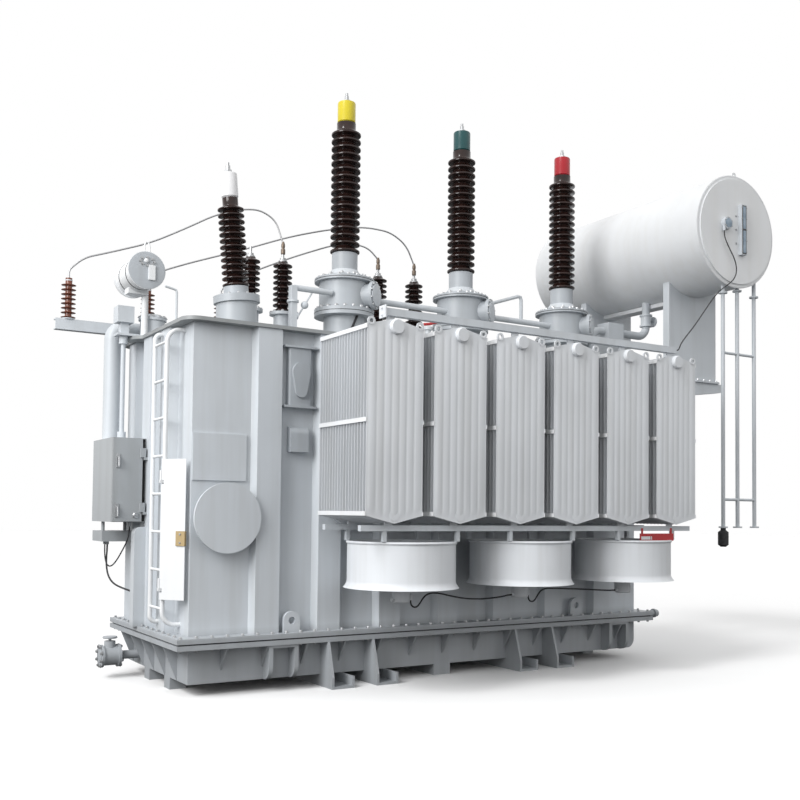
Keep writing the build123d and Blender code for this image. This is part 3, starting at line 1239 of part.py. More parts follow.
def oil_pipe():
    """Pipe from the cover through the gas relay up to the conservator."""
    y = OIL_PIPE_Y
    start = HALF_LENGTH + COVER_REACH - OIL_PIPE
    rise = DRUM_X + OIL_RISE_OFFSET
    path = [(start, y, COVER_TOP), (start, y, OIL_PIPE_Z), (rise, y, OIL_PIPE_Z), (rise, y, DRUM_Z)]
    tube = pipe(path, OIL_PIPE_BEND, OIL_PIPE) - drum_bar(-DRUM_LENGTH, DRUM_LENGTH, DRUM_RADIUS)
    middle = (HALF_LENGTH + SUPPORT_LEFT) / 2
    relay = block(middle - RELAY_LENGTH / 2, middle + RELAY_LENGTH / 2,
                  y - RELAY_SIZE / 2, y + RELAY_SIZE / 2,
                  OIL_PIPE_Z - RELAY_SIZE / 2, OIL_PIPE_Z + RELAY_SIZE / 2)
    top = OIL_VALVE_LOW + OIL_VALVE_HEIGHT
    pieces = [tube, relay, upright(rise, y, OIL_VALVE_LOW, top, OIL_VALVE)]
    for z in (OIL_VALVE_LOW, top - OIL_VALVE_RING):
        pieces.append(upright(rise, y, z, z + OIL_VALVE_RING, OIL_VALVE_FLANGE))
    level = OIL_VALVE_LOW + OIL_VALVE_HEIGHT / 2
    wheel = rise + OIL_WHEEL_REACH
    pieces.append(bar((rise, y, level), (wheel, y, level), OIL_VALVE_STEM))
    pieces.append(bar((wheel, y, level), (wheel + OIL_WHEEL_THICK, y, level), OIL_VALVE))
    return fuse(pieces)


def gas_pipes():
    """Gas collecting pipes from each turret to the next."""
    solids = []
    for left, right in zip(HV_X, HV_X[1:]):
        run = bar((left, GAS_PIPE_Y, GAS_PIPE_Z), (right, GAS_PIPE_Y, GAS_PIPE_Z), GAS_PIPE)
        for x in (left, right):
            run = run - upright(x, 0, TURRET_BOTTOM, TURRET_TOP, TURRET_DIAMETER)
        solids.append(run)
    return solids


def breather_pipes():
    pieces = []
    for x, high in zip(BREATHER_X, BREATHER_TOP_FLANGES):
        tube = upright(x, BREATHER_Y, BREATHER_LOW, DRUM_Z, BREATHER_PIPE)
        pieces.append(tube - drum_bar(-DRUM_LENGTH, DRUM_LENGTH, DRUM_RADIUS))
        for z in (BREATHER_LOW, high):
            pieces.append(upright(x, BREATHER_Y, z, z + BREATHER_FLANGE_THICK, BREATHER_FLANGE))
    for z in BREATHER_BARS:
        pieces.append(bar((BREATHER_X[0], BREATHER_Y, z), (BREATHER_X[-1], BREATHER_Y, z), BREATHER_TIE))
    return fuse(pieces)


def breather():
    x = BREATHER_X[0]
    top = BREATHER_LOW
    low = top - BREATHER_BODY_HEIGHT
    body = BREATHER_BODY / 2
    neck = BREATHER_NECK / 2
    profile = [(0, low), (neck, low), (body, low + BREATHER_TAPER), (body, top - 2 * BREATHER_TAPER),
               (neck, top - BREATHER_TAPER), (neck, top), (0, top)]
    return Pos(x, BREATHER_Y, 0) * turned(profile)


def drain_valve():
    root = -HALF_LENGTH
    near = root - DRAIN_REACH
    far = near - DRAIN_BODY
    pieces = [bar((root, DRAIN_Y, DRAIN_Z), (near, DRAIN_Y, DRAIN_Z), DRAIN_PIPE)]
    pieces.append(bar((near, DRAIN_Y, DRAIN_Z), (far, DRAIN_Y, DRAIN_Z), DRAIN_BODY))
    for x in (near, far + DRAIN_FLANGE_THICK):
        pieces.append(bar((x, DRAIN_Y, DRAIN_Z), (x - DRAIN_FLANGE_THICK, DRAIN_Y, DRAIN_Z), DRAIN_FLANGE))
    middle = (near + far) / 2
    bonnet = DRAIN_Z + DRAIN_BONNET_HEIGHT
    pieces.append(upright(middle, DRAIN_Y, DRAIN_Z, bonnet, DRAIN_BONNET))
    pieces.append(upright(middle, DRAIN_Y, bonnet, bonnet + DRAIN_STEM_HEIGHT, DRAIN_STEM))
    wheel_low = bonnet + DRAIN_STEM_HEIGHT - DRAIN_WHEEL_THICK
    pieces.append(upright(middle, DRAIN_Y, wheel_low, wheel_low + DRAIN_WHEEL_THICK, DRAIN_WHEEL))
    return fuse(pieces)


def fan_cables():
    """Cables from each front fan motor to the next, gland to gland."""
    solids = []
    for x, next_x, route in zip(FAN_X, FAN_X[1:], FAN_CABLE_ROUTES):
        start = (x + GLAND_OUT, -FAN_Y, MOTOR_LOW + GLAND_OUT_RISE)
        end = (next_x - GLAND_OUT, -FAN_Y, MOTOR_LOW + GLAND_IN_RISE)
        middle = [(x + GLAND_OUT + dx, -FAN_Y, MOTOR_LOW + dz) for dx, dz in FAN_CABLE_LOOP + route]
        run_in = (end[0] - FAN_CABLE_RUN_IN, end[1], end[2])
        solids.append(cord("fan cable", [start] + middle + [run_in, end], FAN_CABLE))
    return solids


def control_cables():
    """Cables from the tray to the duct, from the cabinet to the tray, and from the dial to the tie bar."""
    tray = [(TRAY_CABLE_X - HALF_LENGTH, y, TRAY_LOW - TRAY_GLAND) for y in TRAY_CABLE_YS]
    duct = (DUCT_CABLE_X - HALF_LENGTH, DUCT_Y + DUCT_SIZE / 2 + GLAND_REACH, DUCT_CABLE_Z)
    below = [(x - HALF_LENGTH, y, z) for x, y, z in TRAY_CABLE_ROUTE]
    solids = [cord("tray cable", [tray[0]] + below + [duct], TRAY_CABLE)]
    cabinet = (CABINET_CABLE_X - HALF_LENGTH, CABINET_CABLE_Y, CABINET_LOW - CABINET_GLAND)
    loop = [(x - HALF_LENGTH, y, z) for x, y, z in CABINET_CABLE_ROUTE]
    solids.append(cord("cabinet cable", [cabinet] + loop + [tray[1]], CONTROL_CABLE))
    dial = (DRUM_X + DIAL_OFFSET + DIAL_GLAND_OFFSET, DRUM_FACE - LEVEL_THICK / 2, dial_gland_low())
    hanging = [(DRUM_X + x, DRUM_FACE + y, DRUM_Z + z) for x, y, z in DIAL_CABLE_ROUTE]
    tie_x = RADIATOR_X[-1] + LUG_WIDTH + GLAND_REACH
    bar_end = (tie_x, TIE_INSET - FIN_FRONT, TIE_BOTTOM + TIE_CABLE_RISE)
    run_in = (bar_end[0] + DIAL_CABLE_RUN_IN, bar_end[1], bar_end[2])
    solids.append(cord("dial cable", [dial] + hanging + [run_in, bar_end], CONTROL_CABLE))
    return solids


def main():
    os.makedirs("parts", exist_ok=True)
    export("base_tank", [base_tank()])
    export("skid_beams", skid_beams())
    export("flange_gasket", [flange_gasket()])
    export("bell_tank", [bell_tank()])
    export("pulling_lugs", [lug for x in PULL_LUG_X for lug in both_sides(pulling_lug(x))])
    export("tank_cover", [tank_cover()])
    export("radiator_valves", radiator_valves())
    panel = radiator()
    rear = mirror(panel, Plane.XZ)
    for i, x in enumerate(RADIATOR_X):
        export(f"radiator_front_{i + 1}", [Pos(x, 0, 0) * panel])
    export("radiators_rear", [Pos(x, 0, 0) * rear for x in RADIATOR_X])
    export("cooler_frames", tie_bars() + fan_frames())
    casing = fan_casing()
    rotor = fan_rotor()
    for i, x in enumerate(FAN_X):
        export(f"fan_casing_{i + 1}", [Pos(x, -FAN_Y, 0) * casing])
        export(f"fan_rotor_{i + 1}", [Pos(x, -FAN_Y, 0) * rotor])
    export("fan_casings_rear", [Pos(x, FAN_Y, 0) * casing for x in FAN_X])
    export("fan_rotors_rear", [Pos(x, FAN_Y, 0) * rotor for x in FAN_X])
    turret = hv_turret()
    porcelain = hv_porcelain()
    top = cap(HV_CAP_LOW, HV_CAP_DIAMETER, HV_CAP_HEIGHT, HV_STUD_DIAMETER, HV_STUD_HEIGHT)
    export("hv_turrets", [Pos(x, 0, 0) * turret for x in HV_X])
    export("hv_porcelains", [Pos(x, 0, 0) * porcelain for x in HV_X])
    for x, colour in zip(HV_X, ("yellow", "green", "red")):
        export(f"hv_cap_{colour}", [Pos(x, 0, 0) * top])
    export("neutral_turret", [neutral_turret()])
    export("neutral_porcelain", [neutral_porcelain()])
    export("neutral_cap", [neutral_cap()])
    export("lv_turrets", lv_turrets())
    export("lv_bushings", lv_bushings())
    export("post_beam", [post_beam()])
    export("post_insulators", post_insulators())
    export("lv_leads", lv_leads())
    export("manhole_cover", [manhole_cover()])
    export("blanking_plate", [blanking_plate()])
    export("gauge_box", gauge_box())
    export("tap_changer_head", [tap_changer_head()])
    export("drive_gear", [drive_gear()])
    export("drive_shaft", [drive_shaft()])
    export("riser_pipe", riser_pipe())
    export("drive_cabinet", [drive_cabinet()])
    export("cabinet_door", [cabinet_door()])
    export("small_conservator", [small_conservator()])
    export("ladder_rails", ladder_rails())
    export("ladder_rungs", ladder_rungs())
    export("ladder_guard", [ladder_guard()])
    export("conservator_shell", [conservator_shell()])
    end = conservator_end()
    export("conservator_ends", both_sides(end))
    export("conservator_supports", [conservator_support(-1), conservator_support(1)])
    export("level_gauge", level_gauge())
    export("oil_pipe", [oil_pipe()])
    export("gas_pipes", gas_pipes())
    export("breather_pipes", [breather_pipes()])
    export("breather", [breather()])
    export("drain_valve", [drain_valve()])
    export("fan_cables", fan_cables())
    export("control_cables", control_cables())


main()
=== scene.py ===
import json
from math import cos, pi, radians, sin

import bmesh
import bpy
from mathutils import Matrix, Vector


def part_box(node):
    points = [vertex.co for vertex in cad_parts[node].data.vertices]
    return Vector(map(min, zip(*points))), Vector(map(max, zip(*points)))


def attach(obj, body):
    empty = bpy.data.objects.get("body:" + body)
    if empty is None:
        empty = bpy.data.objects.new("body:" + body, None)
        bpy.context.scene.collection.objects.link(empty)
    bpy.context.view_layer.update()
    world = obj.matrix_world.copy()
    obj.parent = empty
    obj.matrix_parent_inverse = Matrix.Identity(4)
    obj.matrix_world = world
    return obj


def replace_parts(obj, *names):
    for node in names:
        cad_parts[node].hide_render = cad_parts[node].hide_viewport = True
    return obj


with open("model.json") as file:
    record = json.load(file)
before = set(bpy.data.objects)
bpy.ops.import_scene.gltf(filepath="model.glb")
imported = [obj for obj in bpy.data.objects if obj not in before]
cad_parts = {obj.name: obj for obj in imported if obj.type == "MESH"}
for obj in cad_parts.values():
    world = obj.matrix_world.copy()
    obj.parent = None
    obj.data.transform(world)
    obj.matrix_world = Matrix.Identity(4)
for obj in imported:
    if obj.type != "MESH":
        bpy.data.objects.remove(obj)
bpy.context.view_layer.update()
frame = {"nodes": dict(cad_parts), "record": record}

# Looks of the power transformer, in metres and in the part's own frame.

# Camera and light
CAMERA_PLACE = Vector((-5.170, -8.390, 1.490))
CAMERA_YAW = radians(31.73)
CAMERA_PITCH = radians(2.19)
CAMERA_ROLL = radians(0.61)
CAMERA_LENS = 44.42
CAMERA_SENSOR = 36
CAMERA_SHIFT = 0.0932
SKY_ZENITH = 0.76
SKY_HORIZON = 1.02
SUN_LEVEL = 0.85
SUN_SOFTNESS = radians(16)
SUN_FROM = Vector((-0.62, -0.16, 0.77))
LAMP_PLACE = Vector((-10.0, -4.0, 6.0))
LAMP_AIM = Vector((-1.0, -1.0, 1.8))
LAMP_SIZE = 5.0
LAMP_POWER = 700
FLOOR_REACH = 60
FLOOR_SHADE = 0.96
FLOOR_BOUNCE = 0.10
# Painted shade: the grey paint darkens between these heights, towards the ground
GROUND_SHADE_LOW = 0.46
GROUND_SHADE_HIGH = 0.54
GROUND_SHADE_LEVEL = 0.66

# Tank
TANK_END = -2.440
COVER_TOP = 3.040
FLANGE_TOP = 0.480
BASE_FLANGE = 0.040

# Profiles are pairs of radius and height, rings of bolts are level, circle and count, and blocks are two
# corners. These are the sides of turned forms and of tubes.
LATHE_STEPS = 48
TUBE_STEPS = 16
FITTING_STEPS = 24
PLUG_STEPS = 20
ROD_STEPS = 12
WIRE_STEPS = 6
HEXAGON = 6

# Radiators
RADIATOR_COUNT = 6
FIN_COUNT = 18
FIN_PITCH = 0.046
FIN_HALF = 0.0025
FIN_THICK = 0.010
PANEL_WIDTH = 0.520
PANEL_BORDER = 0.016
FLUTE_COUNT = 7
FLUTE_DEPTH = 0.0045
FLUTE_FULLNESS = 0.6
OUTER_FLUTE_DEPTH = 0.0060
FLUTE_MARGIN = 0.050
FLUTE_RUNOUT = 0.035
FACE_SAMPLES = 8
INNER_SAMPLES = 2
SHOULDER_LOW = 1.462
SHOULDER_HIGH = 2.954
PEAK_RISE = 0.062
FIN_BACK = 1.000
HEADER_RADIUS = 0.0445
HEADER_INSET = 0.004
HEADER_CAP = ((0.061, -0.010), (0.061, 0.0238), (0.05368, 0.034), (0.0183, 0.034))
PIPE_FLANGE_RADIUS = 0.085
PIPE_FLANGE_THICK = 0.018
PIPE_STEPS = 32
STRAP_HEIGHT = 0.034
STRAP_THICK = 0.008
EYE_RADIUS = 0.034
EYE = ((0.018, -0.007), (EYE_RADIUS, -0.007), (EYE_RADIUS, 0.007), (0.018, 0.007))
EYE_RISE = 0.024
LUG_WIDTH = 0.070
LUG_THICK = 0.014
TIE_INSET = 0.094
TIE_BOTTOM = 3.050
BEAM_INSET = 0.096
BEAM_TOP = 1.386

# Fans
FAN_COUNT = 3
FAN_RADIUS = 0.453
FAN_WALL = 0.008
FAN_LIP = 0.030
FAN_LIP_RISE = 0.060
FAN_ROLL = 0.012
FAN_TOP = 1.254
FAN_BOTTOM = 0.870
FAN_STEPS = 96
FLARE_OUTSIDE = (0.08, 0.3, 0.55, 0.8, 1)
FLARE_INSIDE = (1, 0.8, 0.55, 0.3, 0)
MOTOR_RADIUS = 0.105
MOTOR_BOTTOM = 0.740
MOTOR_TOP = 1.014
MOTOR = ((0.06375, MOTOR_BOTTOM), (0.075, 0.752), (0.075, 0.850), (MOTOR_RADIUS, 0.860),
         (MOTOR_RADIUS, MOTOR_TOP), (0.0315, MOTOR_TOP))
MOTOR_STEPS = 40
GLAND_RADIUS = 0.015
GLAND_OUT = 0.095
GLAND_IN_LEVEL = 0.766
GLAND_OUT_LEVEL = 0.758
GLAND_LENGTH = 0.040
GLAND_ARM_RADIUS = 0.011
ARM_COUNT = 4
ARM_TURN = radians(45)
ARM_ROOT = 0.0945
ARM_WIDTH = 0.040
ARM_LOW = 0.894
ARM_THICK = 0.012
GUARD_RINGS = 7
GUARD_STEPS = 48
GUARD_LEVEL = 0.890
GUARD_WIRE_RADIUS = 0.003
ROTOR_LEVEL = 1.0623
ROTOR_HUB = ((0.0765, 1.0143), (0.085, 1.0243), (0.085, 1.0903), (0.0595, 1.1103))
BLADE_COUNT = 6
BLADE_ROOT = 0.068
BLADE_TIP = 0.427
BLADE_STATIONS = 7
BLADE_CHORD = 0.130
BLADE_HALF = 0.003
BLADE_ROOT_PITCH = radians(34)
BLADE_TIP_PITCH = radians(20)

# Insulators, each as low end, sheds, pitch, tip radius, core radius and neck
PHASES = ("yellow", "green", "red")
HV_PORCELAIN = (3.992, 17, 0.072, 0.145, 0.093, 0.062)
NEUTRAL_PORCELAIN = (0.110, 13, 0.056, 0.118, 0.070, 0.062)
LV_PORCELAIN = (3.440, 9, 0.056, 0.095, 0.050, 0)
POST_PORCELAIN = (3.208, 8, 0.042, 0.066, 0.030, 0.042)
THICK_SHED = ((0, 0.03), (0.30, 0.09), (0.78, 0.11), (0.95, 0.16), (1, 0.27), (0.97, 0.38), (0.84, 0.46),
              (0.42, 0.58), (0.12, 0.74), (0, 0.90))
THIN_SHED = ((0, 0.22), (0.30, 0.32), (0.90, 0.37), (1, 0.43), (0.94, 0.49), (0.40, 0.57), (0, 0.72))

# Caps of the bushings, each as low end, height and radius, and their fittings
HV_CAP = (5.278, 0.210, 0.088)
NEUTRAL_CAP = (0.900, 0.225, 0.075)
NEUTRAL_SEAT = Vector((-1.835, -0.200, 3.365))
NEUTRAL_LEAN = radians(5)
NEUTRAL_BOLTS = (0.028, 0.160, 12)
CAP_ROUND = 0.014
CAP_EASE = 0.0042
STUD_RADIUS = 0.020
STUD = ((STUD_RADIUS, 0), (STUD_RADIUS, 0.0658), (0.014, 0.07144), (0.014, 0.094))
STUD_NUT = ((0.036, 0), (0.036, 0.02632))
LV_X = (-1.433, -1.090, -0.001, 0.445)
LV_Y = 0.450
LV_BOLTS = ((COVER_TOP + 0.028, 0.108, 8), (LV_PORCELAIN[0], 0.108, 8))
LEAD_BUSHINGS = (1, 2, 3)
LV_STUD_LOW = 3.944
LV_STUD_TOP = 4.050
LV_STUD = ((0.044, 0), (0.044, 0.014), (0.030, 0.018), (0.030, 0.040), (0.013, 0.042),
           (0.013, LV_STUD_TOP - LV_STUD_LOW))
LEAD_CLAMP = ((0.014, -0.030), (0.022, -0.022), (0.022, 0.020), (0.015, 0.032), (0.019, 0.050),
              (0.019, 0.070), (0.010, 0.100))
POST_X = (-3.063, -2.332, -1.602)
POST_Y = 0.780
POST_FOOT = ((0.060, 0), (0.060, 0.008), (0.034, 0.008), (0.034, 0.014))
POST_HEAD = ((0.032, -0.026), (0.032, -0.016), (0.018, -0.010), (0.018, 0))

# Turrets
TURRET_LOW = 3.400
TURRET_TOP = 3.736
TURRET_FLANGE = 0.036
COLLAR_TOP = 3.764
TURRET_BOLTS = ((TURRET_LOW + TURRET_FLANGE, 0.268, 20), (TURRET_TOP, 0.256, 18), (COLLAR_TOP, 0.188, 10))
TURRET_JOINT = ((0.280, -0.003), (0.291, -0.003), (0.291, 0.003), (0.280, 0.003))
TURRET_JOINT_LEVELS = (TURRET_LOW, TURRET_TOP - TURRET_FLANGE / 2)
JOINT_STEPS = 64
SKIRT = ((0.168, 0), (0.166, 0.012), (0.131, 0.062), (0.115, 0.066))
CT_TURN = radians(-52)
CT_REACH = 0.330
CT_LEVEL = 3.568
CT_COVER = ((0.110, 0), (0.110, 0.012), (0.102, 0.016), (0.03, 0.016))
CT_COVER_SIDES = 10
CT_BOLTS = (0, 0.121, 10)

# Fittings on the cover
ROD = ((-2.418, -0.300, COVER_TOP), (-2.418, -0.300, 3.340), (-2.424, -0.300, 3.357), (-2.440, -0.300, 3.362),
       (-2.521, -0.300, 3.379))
ROD_RADIUS = 0.010
GAS_STUB = ((-1.250, -0.150, 3.560), (-0.860, -0.150, 3.560))
GAS_STUB_RADIUS = 0.028
GAS_POST = ((-1.290, -0.185, COVER_TOP), (-1.230, -0.115, 3.575))
POST_COLLAR = ((0.055, -0.010), (0.055, 0.010))
POST_COLLAR_PLACES = ((-1.260, -0.150, 3.150), (-1.260, -0.150, 3.430))
POST_PLUG = ((0.036, -0.010), (0.036, 0.016), (0.024, 0.022))
POST_PLUG_PLACE = (-1.230, -0.150, 3.300)
BALL_ROD = ((-1.235, -0.150, 3.250), (-1.055, -0.150, 3.548))
BALL_ROD_RADIUS = 0.008
BALL_ROD_STEPS = 10
BALL_PLACE = (-1.139, -0.150, 3.409)
BALL_AXIS = (0.52, 0, 0.86)
BALL_RADIUS = 0.036
BALL_ROWS = 9
GAS_ELBOW = ((0.965, -0.060, 3.668), (1.450, -0.060, 3.829), (1.485, -0.060, 3.826), (1.496, -0.060, 3.795),
             (1.497, -0.060, 3.570))
GAS_ELBOW_RADIUS = 0.019
VALVE = ((0.030, COVER_TOP), (0.030, 3.250), (0.045, 3.255), (0.045, 3.285), (0.020, 3.290))
VALVE_PLACE = (0.040, -0.450, 0)
VALVE_LEVER = ((-0.007, -0.450, 3.305), (0.060, -0.450, 3.316), (0.157, -0.450, 3.347))
VALVE_LEVER_RADIUS = 0.014
CONDUIT = ((-0.552, -0.200, 3.480), (-0.753, -0.200, COVER_TOP))
CONDUIT_AXIS = (-0.415, 0, -0.91)
CONDUIT_RADIUS = 0.012
CONDUIT_GLAND = ((0.020, -0.010), (0.020, 0.034), (0.014, 0.040))
TAP_BOLTS = (3.230, 0.114, 12)
TIE_BRACKET = ((-1.213, -1.748, 3.030), (-1.201, -1.648, 3.130))
TIE_BRACKET_BOLTS = ((-1.213, -1.698, 3.052), (-1.213, -1.698, 3.108))

# Fittings of the left end
DOOR_FACE = 0.101
HANDLE_PLACES = ((-2.772, 1.910), (-2.777, 1.480))
HANDLE_PLATE = ((-0.016, -0.010, -0.060), (0.016, 0, 0.060))
HANDLE_LEVER = ((-0.008, 0.030), (-0.034, 0.030), (-0.038, -0.050))
HANDLE_RADIUS = 0.009
LOCK_PLACE = (-2.611, DOOR_FACE, 1.439)
LOCK = ((0.026, 0), (0.026, 0.006), (0.020, 0.012), (0.008, 0.012))
GUARD_HINGE = Vector((-2.625, -0.610, 0))
GUARD_TURN = radians(-51)
HASP = (
    ((0.152, -0.012, 1.203), (0.238, -0.003, 1.321)),
    ((0.233, -0.012, 1.203), (0.238, 0.012, 1.321)),
    ((0.200, 0.003, 1.203), (0.238, 0.012, 1.321)),
)
RIVET_PLACES = ((0.192, -0.012, 1.228), (0.192, -0.012, 1.296))
RIVET_RADIUS = 0.006
SMALL_DRUM = Vector((-2.586, 0, 3.567))
SMALL_DRUM_END = ((0.161, 0), (0.161, 0.003), (0.135, 0.006), (0.04, 0.006))
SMALL_DRUM_HOOP = ((0.141, 0), (0.147, 0), (0.147, 0.014), (0.141, 0.014))
SMALL_DRUM_HOOP_PLACES = (0.140, 0.340)
SMALL_DRUM_STEPS = 64
OVAL_COUNT = 8
OVAL_SIZE = (0.062, 0.034)
OVAL_RISE = 0.075
SMALL_GAUGE = ((0.010, -0.022, -0.085), (0.070, 0, 0.045))
SMALL_PLUG = ((0.020, 0), (0.020, 0.020), (0.012, 0.026))
SMALL_PLUG_PLACE = (-0.010, 0, 0.080)
BAIL_SEAT = (0.015, 0.060, 0.145)
BAIL = ((-0.024, -0.010), (-0.022, 0.085), (-0.012, 0.115), (0.012, 0.115), (0.022, 0.085), (0.024, -0.010))
BAIL_RADIUS = 0.008
DRAIN_HALF = 0.085
DRAIN_Y = 0.440
DRAIN_Z = 0.195
DRAIN_BOLTS = (0, 0.088, 8)
DRAIN_WHEEL = ((0.058, -0.018), (0.064, -0.014), (0.064, -0.004), (0.058, 0))
DRAIN_CAP = ((0.054, 0), (0.054, 0.006), (0.020, 0.010))

# Conservator
DRUM = Vector((3.430, 0, 4.550))
DRUM_FACE = -1.332
DRUM_STEPS = 96
DRUM_RIM_PLACE = 1.316
DRUM_RIM = ((0.596, -0.014), (0.608, -0.010), (0.608, -0.002), (0.596, 0.002))
DRUM_SEAM_PLACES = (-0.450, 0.430, 1.306)
DRUM_SEAM = ((0.596, -0.006), (0.6015, -0.003), (0.6015, 0.003), (0.596, 0.006))
SADDLE = ((3.350, -0.625, 3.905), (3.510, 0.625, 3.950))
LEVEL_X = 3.492
LEVEL_Z = 4.569
LEVEL_FRONT = -1.378
GAUGE_FRAME = (
    ((3.462, -1.382, 4.307), (3.471, LEVEL_FRONT, 4.831)),
    ((3.513, -1.382, 4.307), (3.522, LEVEL_FRONT, 4.831)),
    ((3.471, -1.382, 4.307), (3.513, LEVEL_FRONT, 4.317)),
    ((3.471, -1.382, 4.559), (3.513, LEVEL_FRONT, 4.579)),
    ((3.471, -1.382, 4.821), (3.513, LEVEL_FRONT, 4.831)),
)
GAUGE_GLASS = (
    ((3.471, -1.384, 4.317), (3.513, LEVEL_FRONT, 4.559)),
    ((3.471, -1.384, 4.579), (3.513, LEVEL_FRONT, 4.821)),
)
LEVEL_BOLT_X = (-0.035, 0.035)
LEVEL_BOLT_Z = (-0.240, -0.120, 0, 0.120, 0.240)
TINY_BOLT = 0.005
DRUM_FACE_BOLT_X = -0.075
DRUM_FACE_BOLT_Z = (-0.150, 0, 0.150)
DIAL = Vector((3.245, LEVEL_FRONT, 4.605))
DIAL_GLASS = ((0.050, 0), (0.050, 0.004), (0.030, 0.006))
DIAL_BOLTS = (0, 0.057, 6)
FOOT_Y = 0.670
FOOT_SPANS = ((3.040, 3.420), (3.450, 3.830))
FOOT_HALF_WIDTH = 0.085
FOOT_LOW = 2.990
FOOT_HIGH = 3.014
FOOT_BOLTS = 4
FOOT_BOLT_INSET = 0.040
FOOT_BOLT_Y = 0.066

# Red plate at the cooler and the fitting at the flange's right end
RED_PLATE = (
    ((1.592, -1.728, 1.247), (2.033, -1.719, 1.316)),
    ((1.610, -1.724, 1.306), (1.634, -1.719, 1.366)),
    ((1.991, -1.724, 1.306), (2.015, -1.719, 1.366)),
)
PLATE_LABEL = (
    ((1.604, -1.730, 1.259), (1.722, -1.727, 1.289)),
    ((1.732, -1.730, 1.259), (1.742, -1.727, 1.289)),
)
FLANGE_FITTING = ((0.030, 0), (0.030, 0.040), (0.046, 0.042), (0.046, 0.062), (0.036, 0.064), (0.036, 0.096),
                  (0.020, 0.100))
FLANGE_FITTING_PLACE = (2.580, -0.895, 0.455)

# Hanging cables, each with the points of its route
FAN_CABLE = 0.014
TRAY_CABLE = 0.016
CONTROL_CABLE = 0.012
FAN_CABLE_LOOP = (
    (0, -0.010), (0.017, -0.036), (0.045, -0.045), (0.072, -0.036), (0.095, -0.009), (0.122, 0.028),
    (0.157, 0.058), (0.211, 0.071),
)
FAN_CABLE_ROUTES = (
    ((0.290, 0.066), (0.400, 0.040), (0.525, 0.016), (0.655, 0.003), (0.785, 0.001), (0.905, 0.008),
     (0.985, 0.017)),
    ((0.290, 0.068), (0.405, 0.063), (0.535, 0.056), (0.665, 0.048), (0.795, 0.039), (0.905, 0.031),
     (0.980, 0.027)),
)
FAN_CABLE_RUN_IN = 0.035
TRAY_CABLE_ROUTE = (
    (-0.290, 0.540, 1.175), (-0.290, 0.540, 1.128), (-0.292, 0.549, 1.066), (-0.291, 0.551, 0.988),
    (-0.286, 0.523, 0.912), (-0.274, 0.470, 0.859), (-0.250, 0.405, 0.822), (-0.205, 0.345, 0.797),
    (-0.174, 0.290, 0.783), (-0.160, 0.246, 0.776), (-0.160, 0.210, 0.776),
)
CABINET_CABLE_ROUTE = (
    (-0.190, 0.215, 1.341), (-0.190, 0.215, 1.296), (-0.194, 0.225, 1.242), (-0.203, 0.266, 1.188),
    (-0.215, 0.322, 1.130), (-0.227, 0.385, 1.072), (-0.239, 0.444, 1.022), (-0.252, 0.500, 0.988),
    (-0.264, 0.552, 0.976), (-0.275, 0.594, 0.992), (-0.283, 0.617, 1.032), (-0.288, 0.624, 1.084),
    (-0.290, 0.620, 1.132), (-0.290, 0.620, 1.175),
)
DIAL_CABLE_ROUTE = (
    (-0.230, -0.023, -0.030), (-0.230, -0.023, -0.067), (-0.217, -0.025, -0.115), (-0.186, -0.028, -0.168),
    (-0.144, -0.030, -0.228), (-0.100, -0.031, -0.284), (-0.063, -0.031, -0.344), (-0.045, -0.031, -0.411),
    (-0.054, -0.032, -0.476), (-0.095, -0.036, -0.536), (-0.160, -0.044, -0.585), (-0.245, -0.058, -0.633),
    (-0.345, -0.076, -0.690), (-0.450, -0.100, -0.760), (-0.560, -0.126, -0.850), (-0.672, -0.154, -0.950),
    (-0.785, -0.182, -1.052), (-0.900, -0.214, -1.150), (-1.018, -0.250, -1.238), (-1.130, -0.290, -1.316),
    (-1.220, -0.326, -1.382), (-1.274, -0.354, -1.437), (-1.305, -0.366, -1.462), (-1.337, -0.366, -1.462),
)

# Bolts and edges
BOLT_RADIUS = 0.013
BOLT_HEIGHT = 0.014
BOLT_CHAMFER = 0.85
WASHER_SHARE = 1.5
WASHER_THICK = 0.003
WASHER_STEPS = 12
FLANGE_BOLT_PITCH = 0.130
FLANGE_BOLT_INSET = 0.040
SMALL_BOLT = 0.009
TURRET_BOLT = 0.017
MERGE_GAP = 1e-6
SHARP_ANGLE = radians(38)
EDGE_ANGLE = radians(50)
EDGE_SEGMENTS = 2

# Solids drawn in another paint than their material's. The cabinet has a greyer paint and the turrets a darker
# grey; the cover's dark grey and the gauge box's darker grey are painted shade, on the cover's front edge and
# in the gauge box's recess.
NODE_LOOKS = {"drive_cabinet": "cabinet_paint", "cabinet_door": "cabinet_paint", "tank_cover": "cover_shade_paint",
              "hv_turrets": "turret_and_shade_paint", "neutral_turret": "turret_and_shade_paint", "gauge_box": "turret_and_shade_paint"}

# Edge radius, and the solids that show as they are with it
SOFT_EDGES = {
    0.001: ("ladder_guard",),
    0.003: ("blanking_plate",),
    0.004: ("base_tank", "skid_beams", "gauge_box", "drive_cabinet", "cabinet_door", "post_beam",
            "level_gauge", "cooler_frames", "lv_turrets", "drain_valve", "small_conservator",
            "tap_changer_head"),
    0.005: ("bell_tank", "manhole_cover", "drive_gear", "conservator_supports", "pulling_lugs", "hv_turrets",
            "neutral_turret"),
    0.006: ("tank_cover", "oil_pipe"),
}


